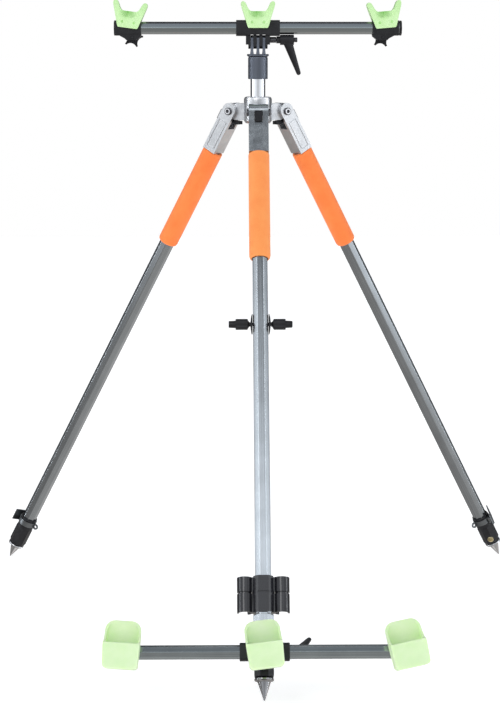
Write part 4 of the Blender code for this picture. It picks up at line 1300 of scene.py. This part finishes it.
# Hub, post and head
piece(softened(hub_casting(), 0.0009, 3), "hub_casting", ROOT, "hub", "cast", "cast_alloy", "hub_casting")
piece(
    softened(rod((0, 0, PIVOT_Z - 0.0122), (0, 0, 0.9985), 0.0135, segments=32), 0.0008),
    "centre_post", ROOT, "hub", "chrome", "chrome", "centre_post",
)
piece(softened(head_collar(), 0.0004), "head_collar", HEAD, "swivel", "collar", "collar", "head_collar")
head_tee = tee()
for pin in trunnions(SLEEVE_T):
    moved(pin, Matrix.Translation((0, 0, BAR_UP)))
    boolean(head_tee, pin, "UNION")
piece(softened(head_tee, 0.0005), "head_tee", HEAD, "head", "plastic", "black_plastic", "head_tee")
bolt = piece(softened(hinge_bolt(), 0.0003), "head_hinge_bolt", HEAD, "head", "black_steel", "steel", "head_hinge_bolt")
handle = piece(softened(clamp_handle(), 0.0006, 3), "head_clamp_lever", HEAD, "head_lever", "plastic", "black_plastic", "head_clamp_lever")
piece(softened(bar(UPPER_HALF), 0.0006), "upper_bar", BAR, "head", "tube_top", "tube", "upper_bar")

# Rests, sliders and star knobs
first_rest = first_knob = None
for side, x in REST_X.items():
    short = {"left": "l", "centre": "c", "right": "r"}[side]
    matrix = at(BAR, (x, 0, REST_PIN_Z), (0, REST_TILT[side], 0))
    if first_rest is None:
        first_rest = piece(softened(hollowed(bevelled(v_rest(), 0.0010, 2, 30)), 0), "rest_left", matrix, "rest_l", "green_rest", "green_plastic", "rest_left")
    else:
        again(first_rest, "rest_" + side, matrix, "rest_" + short, "green_plastic", "rest_" + side)
    if side == "centre":
        continue
    inboard = 1 if side == "left" else -1
    slide = at(BAR, (x, 0, 0))
    piece(softened(slider(side), 0.0006), "slider_" + side, slide, "slide_" + short, "plastic", "black_plastic", "slider_" + side)
    matrix = at(slide, (inboard * KNOB_X[side], 0, KNOB_Z), (0, -KNOB_TURN[side], 0))
    if first_knob is None:
        first_knob = piece(softened(star_knob(), 0.0008, 3), "star_knob_left", matrix, "knob_l", "plastic", "black_plastic", "star_knob_left")
    else:
        again(first_knob, "star_knob_" + side, matrix, "knob_" + short, "black_plastic", "star_knob_" + side)

# Legs
LEG_PIECES = (
    ("yoke", yoke, 0.0008, "yoke", "cast_alloy", "leg"),
    ("pivot_bolt", pivot_bolt, 0.0003, "bolt", "steel", "leg"),
    ("angle_pawl", angle_pawl, 0.0004, "plastic", "black_plastic", "pawl"),
    ("grip", grip, 0.0005, "foam", "foam", "leg"),
    ("leg_tube", lambda: octagon_tube(TUBE_AF, TUBE_BORE, GRIP_TOP, -0.9845), 0.0007, "tube_z", "tube", "leg"),
    ("lower_tube", lambda: octagon_tube(INNER_AF, INNER_BORE, INNER_TOP, -1.0149), 0.0006, "inner", "tube", "lower"),
    ("clamp_body", clamp_body, 0.0006, "plastic", "black_plastic", "leg"),
    ("clamp_band", clamp_band, 0.00025, "band", "band", "leg"),
    ("clamp_lever", clamp_lever, 0.0004, "lever", "band", "lever"),
    ("spike", spike, 0.0003, "spike", "steel", "lower"),
)
# Shaded and lit copies for the front leg: its yoke and spike painted darker as painted shade, its grip painted brighter
# orange as painted light.
FRONT_LOOK = {"yoke": "yoke_front", "foam": "foam_front", "spike": "spike_front"}
for name, build, edge, look, slot, body in LEG_PIECES:
    first = None
    for side in ("left", "right", "front"):
        matrix = LEG[side]
        if name.startswith("clamp") and side == "front":
            matrix = at(matrix, (0, 0, 0), (0, 0, -90.0))
        where = body + "_" + side[0]
        if first is None:
            first = piece(softened(build(), edge), name + "_left", matrix, where, look, slot, name + "_left")
        elif side == "front" and look in FRONT_LOOK:
            new = again(first, name + "_" + side, matrix, where, slot, name + "_" + side)
            new.data = first.data.copy()
            new.data.materials[0] = M[FRONT_LOOK[look]]
        else:
            again(first, name + "_" + side, matrix, where, slot, name + "_" + side)

# Accessory knobs
STUD = at(FRONT, (0, 0, STUD_Z))
MIRROR = at(STUD, (0, 0, 0), (0, 0, 180))
washer = piece(softened(saddle_washer(), 0.0004), "saddle_washer_right", STUD, "leg_f", "plastic", "black_plastic", "saddle_washer_right")
again(washer, "saddle_washer_left", MIRROR, "leg_f", "black_plastic", "saddle_washer_left")
right = cut(thumb_knob(), rod((0.0, 0, 0), (0.0460, 0, 0), 0.0033, segments=16))
piece(softened(right, 0.0004), "accessory_knob_right", STUD, "thumb_r", "plastic", "black_plastic", "accessory_knob_right")
left = joined(thumb_knob(), rod((-0.0440, 0, 0), (0.0200, 0, 0), 0.0030, segments=16))
piece(softened(left, 0.0004), "accessory_knob_left", MIRROR, "thumb_l", "plastic", "black_plastic", "accessory_knob_left")

# Clip, carriage and butt set
piece(softened(leg_clip(), 0.0005), "leg_clip", FRONT, "carriage", "plastic_gloss", "black_plastic", "leg_clip")
piece(softened(carriage_sleeve(), 0.0005), "butt_carriage", FRONT, "carriage", "tube_z", "tube", "butt_carriage")
piece(softened(carriage_knob(), 0.0004), "carriage_knob", at(FRONT, (0, 0, -0.930)), "carriage_screw", "plastic", "black_plastic", "carriage_knob")
butt_tee = tee()
for stud in cup_stud(SLEEVE_T):
    moved(stud, Matrix.Translation((0, 0, BAR_UP)))
    boolean(butt_tee, stud, "UNION")
cut(butt_tee, moved(flat([octagon(BAR_AF + 2 * GAP, 0)], -0.05, 0.05, "YZ"), Matrix.Translation((0, 0, BAR_UP))))
piece(softened(butt_tee, 0.0005), "butt_tee", BUTT, "butt_head", "plastic", "black_plastic", "butt_tee")
again(bolt, "butt_hinge_bolt", BUTT, "butt_head", "steel", "butt_hinge_bolt")
again(handle, "butt_clamp_lever", at(BUTT, (0, 0, 0), (BUTT_LEVER_TURN, 0, 0)), "butt_lever", "black_plastic", "butt_clamp_lever")
piece(softened(bar(LOWER_HALF), 0.0006), "lower_bar", LOWER, "butt_head", "tube_x", "tube", "lower_bar")
first_cup = first_slide = None
for side, x in (("left", -CUP_X), ("centre", 0.0), ("right", CUP_X)):
    matrix = at(LOWER, (x, 0, 0), (0, 0, -CUP_TURN[side]))
    if first_cup is None:
        first_cup = piece(softened(cup(), 0.0011, 3), "butt_cup_left", matrix, "cup_l", "green", "green_plastic", "butt_cup_left")
    else:
        again(first_cup, "butt_cup_" + side, matrix, "cup_" + side[0], "green_plastic", "butt_cup_" + side)
    if side == "centre":
        continue
    matrix = at(LOWER, (x, 0, 0))
    if first_slide is None:
        first_slide = piece(softened(cup_slider(), 0.0006), "cup_slider_left", matrix, "cup_slide_l", "plastic", "black_plastic", "cup_slider_left")
    else:
        again(first_slide, "cup_slider_right", matrix, "cup_slide_r", "black_plastic", "cup_slider_right")


# ---------------------------------------------------------------------------
# Small trim that the photograph shows
# ---------------------------------------------------------------------------
def cross_screw():
    """Pan head with a cross recess, facing +Z."""
    head = turned(
        [(0, 0.0021), (0.0030, 0.0020), (0.0050, 0.0015), (0.0062, 0.0006), (0.0065, -0.0010), (0, -0.0010)], 28
    )
    for angle in (20, 110):
        slot = moved(box((-0.0034, 0.0034), (-0.0007, 0.0007), (0.0006, 0.0030)), turn_z(angle))
        cut(head, slot)
    return head


def end_flange():
    """Black plug's flange at a bar's right end, a little larger than the bar."""
    ob = flat([octagon(0.0250, 0)], UPPER_HALF - 0.0040, UPPER_HALF + 0.0002, "YZ")
    return cut(ob, flat([octagon(BAR_AF + 0.0002, 0)], UPPER_HALF - 0.0100, UPPER_HALF - 0.0006, "YZ"))


flange = piece(softened(end_flange(), 0.0008), "bar_flange_right", BAR, "head", "plastic", "black_plastic")
again(flange, "bar_flange_left", at(BAR, (0, 0, 0), (0, 0, 180)), "head", "black_plastic")

screw = None
for side in ("left", "right", "front"):
    # On the flat next to the lever's, measured round the leg from the clamp's +X.
    turn = math.radians(135.0 - (90.0 if side == "front" else 0.0))
    d = Vector((math.cos(turn), math.sin(turn), 0.0))
    aside = Vector((-math.sin(turn), math.cos(turn), 0.0)) * 0.0030
    matrix = LEG[side] @ Matrix.Translation(d * 0.0157 + aside + Vector((0, 0, -1.0020))) @ d.to_track_quat("Z", "Y").to_matrix().to_4x4()
    if screw is None:
        screw = piece(softened(cross_screw(), 0.0002), "body_screw_left", matrix, "leg_l", "brass", "steel")
    else:
        again(screw, "body_screw_" + side, matrix, "leg_" + side[0], "steel")

# ---------------------------------------------------------------------------
# Floor, light and camera
# ---------------------------------------------------------------------------
bm = bmesh.new()
bmesh.ops.create_grid(bm, x_segments=1, y_segments=1, size=7.0)
mesh = bpy.data.meshes.new("floor")
bm.to_mesh(mesh)
bm.free()
floor = bpy.data.objects.new("floor", mesh)
bpy.context.scene.collection.objects.link(floor)
n = Nodes("pale floor")
n.set(
    Base_Color=n.ramp(n.noise(n.coords(), 3.0, 2.0), [(0.3, (0.80, 0.80, 0.80)), (0.7, (0.82, 0.82, 0.82))]),
    Roughness=0.9,
    Emission_Color=(1.0, 1.0, 1.0, 1.0),
    Emission_Strength=0.60,
)
mesh.materials.append(n.mat)
floor.visible_glossy = False

world = bpy.data.worlds.new("studio")
bpy.context.scene.world = world
world.use_nodes = True
tree = world.node_tree
tree.nodes.clear()


def calc(operation, *values):
    node = tree.nodes.new("ShaderNodeMath")
    node.operation = operation
    for i, value in enumerate(values):
        if isinstance(value, (int, float)):
            node.inputs[i].default_value = value
        else:
            tree.links.new(value, node.inputs[i])
    return node.outputs["Value"]


def curve(value, stops, top):
    """A brightness that follows the stops (place, level); levels up to top."""
    node = tree.nodes.new("ShaderNodeValToRGB")
    ramp = node.color_ramp
    ramp.interpolation = "EASE"
    while len(ramp.elements) > 1:
        ramp.elements.remove(ramp.elements[-1])
    low, high = stops[0][0], stops[-1][0]
    for i, (place, level) in enumerate(stops):
        position = (place - low) / (high - low)
        if i:
            ramp.elements.new(position)
        ramp.elements[i].position = position
        ramp.elements[i].color = (level / top,) * 3 + (1.0,)
    tree.links.new(calc("DIVIDE", calc("SUBTRACT", value, low), high - low), node.inputs["Fac"])
    return calc("MULTIPLY", node.outputs["Color"], top)


coord = tree.nodes.new("ShaderNodeTexCoord")
split = tree.nodes.new("ShaderNodeSeparateXYZ")
tree.links.new(coord.outputs["Generated"], split.inputs["Vector"])
x, y, z = (split.outputs[axis] for axis in "XYZ")
to_degrees = 180.0 / math.pi
# Degrees round from the -Y side, to the right and to both sides, and up from the horizon
turned_by = calc("MULTIPLY", calc("ARCTAN2", x, calc("MULTIPLY", y, -1.0)), to_degrees)
around = calc("ABSOLUTE", turned_by)
above = calc("MULTIPLY", calc("ARCSINE", z), to_degrees)
# The right softbox reaches lower than the left one
above = calc("ADD", above, curve(turned_by, [(-180, 0.0), (-20, 0.0), (30, 4.2), (180, 4.2)], 5.0))
# and the softboxes' inner edges lean outwards above the object's top
edge = calc("SUBTRACT", around, curve(above, [(-90, 0.0), (-2, 0.0), (4, 2.0), (12, 14.0), (22, 14.0), (90, 14.0)], 14.0))
boxes = curve(
    edge,
    [(0, 0.62), (14, 0.72), (30, 1.0), (55, 1.15), (68, 1.7), (84, 1.95), (88, 0.8), (91, 0.3), (102, 0.2), (140, 0.13), (180, 0.12)],
    2.0,
)
level = curve(above, [(-90, 0.0), (-9, 0.0), (-5.5, 0.2), (-3.5, 0.6), (-2.2, 0.95), (38, 1.0), (46, 0.8), (53, 0.34), (60, 0.24), (75, 0.44), (90, 0.5)], 1.0)
share = curve(above, [(-90, 0.0), (44, 0.0), (66, 1.0), (90, 1.0)], 1.0)
upper = calc("MULTIPLY", calc("ADD", calc("MULTIPLY", boxes, calc("SUBTRACT", 1.0, share)), share), level)
overhead = calc(
    "MULTIPLY",
    curve(around, [(0, 1.0), (28, 1.0), (55, 0.0), (180, 0.0)], 1.0),
    curve(above, [(-90, 0.0), (30, 0.0), (40, 0.6), (45, 1.12), (49, 0.98), (51.3, 0.5), (53.4, 0.1), (55.5, 0.0), (90, 0.0)], 1.2),
)
ground = curve(
    turned_by,
    [(-180, 0.50), (-135, 0.36), (-100, 0.33), (-66, 0.27), (-40, 0.34), (-18, 0.42), (0, 0.50), (18, 0.54), (40, 0.54),
     (66, 0.52), (100, 0.60), (140, 0.66), (180, 0.50)],
    1.2,
)
straight = curve(above, [(-90, 0.92), (-76, 0.85), (-66, 0.0), (90, 0.0)], 1.0)
mask = curve(above, [(-90, 0.0), (-77, 0.0), (-66, 1.0), (-8, 1.0), (-2, 0.08), (10, 0.0), (90, 0.0)], 1.0)
lower = calc("ADD", calc("MULTIPLY", ground, mask), straight)
# Cooler light from the boxes, warmer light off the ground
cool = tree.nodes.new("ShaderNodeBackground")
cool.inputs["Color"].default_value = (0.96, 1.0, 1.04, 1.0)
# A thin bright tube at the inner edge of each box
strips = calc(
    "MULTIPLY",
    curve(around, [(0, 0.0), (83.8, 0.0), (85.0, 1.0), (87.0, 1.0), (88.2, 0.0), (180, 0.0)], 1.0),
    curve(above, [(-90, 0.0), (-22, 0.0), (-14, 8.0), (30, 8.0), (40, 0.0), (90, 0.0)], 8.0),
)
tree.links.new(calc("ADD", calc("ADD", upper, overhead), strips), cool.inputs["Strength"])
warm = tree.nodes.new("ShaderNodeBackground")
warm.inputs["Color"].default_value = (1.03, 1.0, 0.96, 1.0)
tree.links.new(lower, warm.inputs["Strength"])
lit = tree.nodes.new("ShaderNodeAddShader")
tree.links.new(cool.outputs["Background"], lit.inputs[0])
tree.links.new(warm.outputs["Background"], lit.inputs[1])
seen = tree.nodes.new("ShaderNodeBackground")
out = tree.nodes.new("ShaderNodeOutputWorld")
path = tree.nodes.new("ShaderNodeLightPath")
mix = tree.nodes.new("ShaderNodeMixShader")
seen.inputs["Color"].default_value = (1.0, 1.0, 1.0, 1.0)
tree.links.new(path.outputs["Is Camera Ray"], mix.inputs["Fac"])
tree.links.new(lit.outputs["Shader"], mix.inputs[1])
tree.links.new(seen.outputs["Background"], mix.inputs[2])
tree.links.new(mix.outputs["Shader"], out.inputs["Surface"])


def area(name, location, target, size, power, color=(1, 1, 1)):
    light = bpy.data.lights.new(name, "AREA")
    light.shape = "RECTANGLE"
    light.size, light.size_y = size
    light.energy = power
    light.color = color
    ob = bpy.data.objects.new(name, light)
    ob.location = location
    ob.rotation_euler = (Vector(target) - Vector(location)).to_track_quat("-Z", "Y").to_euler()
    bpy.context.scene.collection.objects.link(ob)
    return ob


area("key", (-1.2, -3.0, 2.6), (0, 0, 0.6), (1.4, 1.4), 18)
area("back", (0.6, 3.0, 2.4), (0, 0, 0.6), (1.8, 1.2), 8)

scene = bpy.context.scene
scene.view_settings.view_transform = "Standard"
scene.view_settings.look = "None"
camera_data = bpy.data.cameras.new("camera")
camera_data.lens = 95.3
camera_data.sensor_width = 36.0
camera_data.clip_end = 50.0
camera = bpy.data.objects.new("camera", camera_data)
yaw = math.radians(-0.85)
x, y = -0.0143, -3.411
camera.location = (
    x * math.cos(yaw) - y * math.sin(yaw) + SHIFT[0],
    x * math.sin(yaw) + y * math.cos(yaw) + SHIFT[1],
    1.023,
)
camera.rotation_euler = (math.radians(90.0 - 9.24), 0.0, yaw)
scene.collection.objects.link(camera)
scene.camera = camera

bpy.context.view_layer.update()
